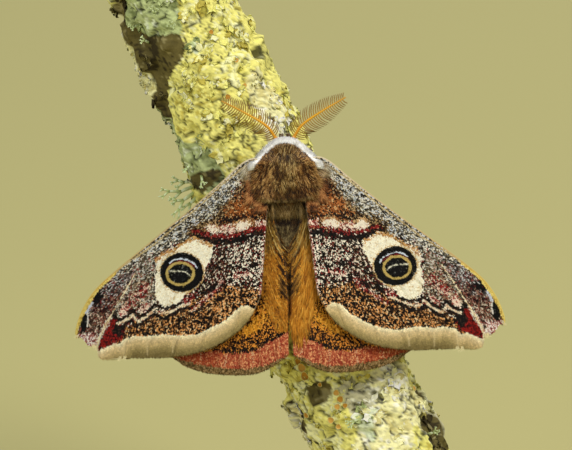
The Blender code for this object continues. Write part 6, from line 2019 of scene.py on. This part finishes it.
def make_base():
    """A turned base of dark wood with a rounded edge and a shallow groove."""
    look, tree, shader = new_look("dark wood", roughness=0.42, specular=0.4, coat=0.15)
    place = add_node(tree, "ShaderNodeTexCoord")
    mapping = add_node(tree, "ShaderNodeMapping", Scale=(1.0, 0.12, 1.0))
    rings = add_node(tree, "ShaderNodeTexWave", Scale=140.0, Distortion=5.0, Detail=3.0)
    tree.links.new(place.outputs["Object"], mapping.inputs["Vector"])
    tree.links.new(mapping.outputs["Vector"], rings.inputs["Vector"])
    blend_tones(tree, shader, rings.outputs["Fac"], WOOD_TONES)
    pores = noise_height(tree, 3000.0, stretch=(1.0, 0.1, 1.0))
    add_bump(tree, shader, pores, strength=0.15, distance=0.00004)
    corner = [(BASE_RADIUS - BASE_ROUNDING + BASE_ROUNDING * math.sin(a), BASE_ROUNDING * math.cos(a))
              for a in np.linspace(0, math.pi / 2, 7)]
    lower = [(r, BASE_ROUNDING - h) for r, h in corner]
    upper = [(r, BASE_HEIGHT - BASE_ROUNDING + h) for r, h in reversed(corner)]
    groove_at = BASE_RADIUS - GROOVE_IN
    groove = [(groove_at, BASE_HEIGHT), (groove_at - GROOVE_HALF, BASE_HEIGHT - GROOVE_DEPTH),
              (groove_at - 2 * GROOVE_HALF, BASE_HEIGHT)]
    top = [(2.0, BASE_HEIGHT), (0.0, BASE_HEIGHT)]
    profile = np.array([(0.0, 0.0)] + lower + upper + groove + top)
    lathe_piece("stand_base_turned", profile, (0.0, 0.0), look, ["stand_base"])


def make_rod():
    """A satin brass rod in a small ferrule."""
    metal, tree, shader = new_look("satin brass", roughness=0.3, specular=0.5)
    shader.inputs["Metallic"].default_value = 1.0
    height = noise_height(tree, 1500.0, stretch=(1.0, 1.0, 0.1))
    blend_tones(tree, shader, height, BRASS_TONES)
    add_bump(tree, shader, height, strength=0.12, distance=0.00001)
    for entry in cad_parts["stand_rod"].material_slots:
        entry.material = metal
    low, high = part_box("stand_rod")
    middle = [(low[part] + high[part]) / (2 * MM) for part in (0, 1)]
    lathe_piece("stand_ferrule", np.array(FERRULE), middle, metal, [])


def lathe_piece(name, profile, middle, look, nodes):
    """A profile of radii and heights that is turned about an upright axis."""
    bag = Bag()
    turn = np.linspace(0, 2 * np.pi, LATHE_SIDES, endpoint=False)
    radius, height = profile[:, 0][:, None], profile[:, 1][:, None]
    points = np.stack((middle[0] + radius * np.cos(turn), middle[1] + radius * np.sin(turn),
                       height + 0 * turn), axis=-1)
    level = np.linspace(0, 1, len(profile))[:, None] + 0 * turn
    spots = np.stack((0.01 + 0.98 * (turn / (2 * np.pi))[None] + 0 * level, 0.01 + 0.98 * level), axis=-1)
    bag.grid(points * MM, 0.5, spots, wrap=True)
    piece = make_piece(name, bag, look, nodes, in_world=True)
    for polygon in piece.data.polygons:
        polygon.use_smooth = True
    piece.data.set_sharp_from_angle(angle=math.radians(SHARP_DEG))


# Scene

def make_body():
    """Skin, coat, eyes, antennae and legs; the coat's parts share one run of random numbers."""
    look = painted_look("coat", roughness=0.72, bump_scale=14000.0, bump_strength=0.2,
                        bump_depth=0.00001, vary=0.12, specular=0.2, sheen=0.12)
    rng = np.random.default_rng(7)
    make_skin(look)
    for make_part in (make_thorax_coat, make_collar, make_wing_root_coat, make_flank_coat, make_abdomen_coat,
                      make_hind_hair, make_head_coat):
        make_part(look, rng)
    make_eyes()
    horn = painted_look("horn", roughness=0.45, bump_scale=9000.0, bump_strength=0.2,
                        bump_depth=0.00001, vary=0.12, specular=0.35)
    make_antennae(horn)
    make_legs(horn, look)


def main():
    make_studio()
    make_wings()
    make_body()
    make_perch()
    make_base()
    make_rod()


main()
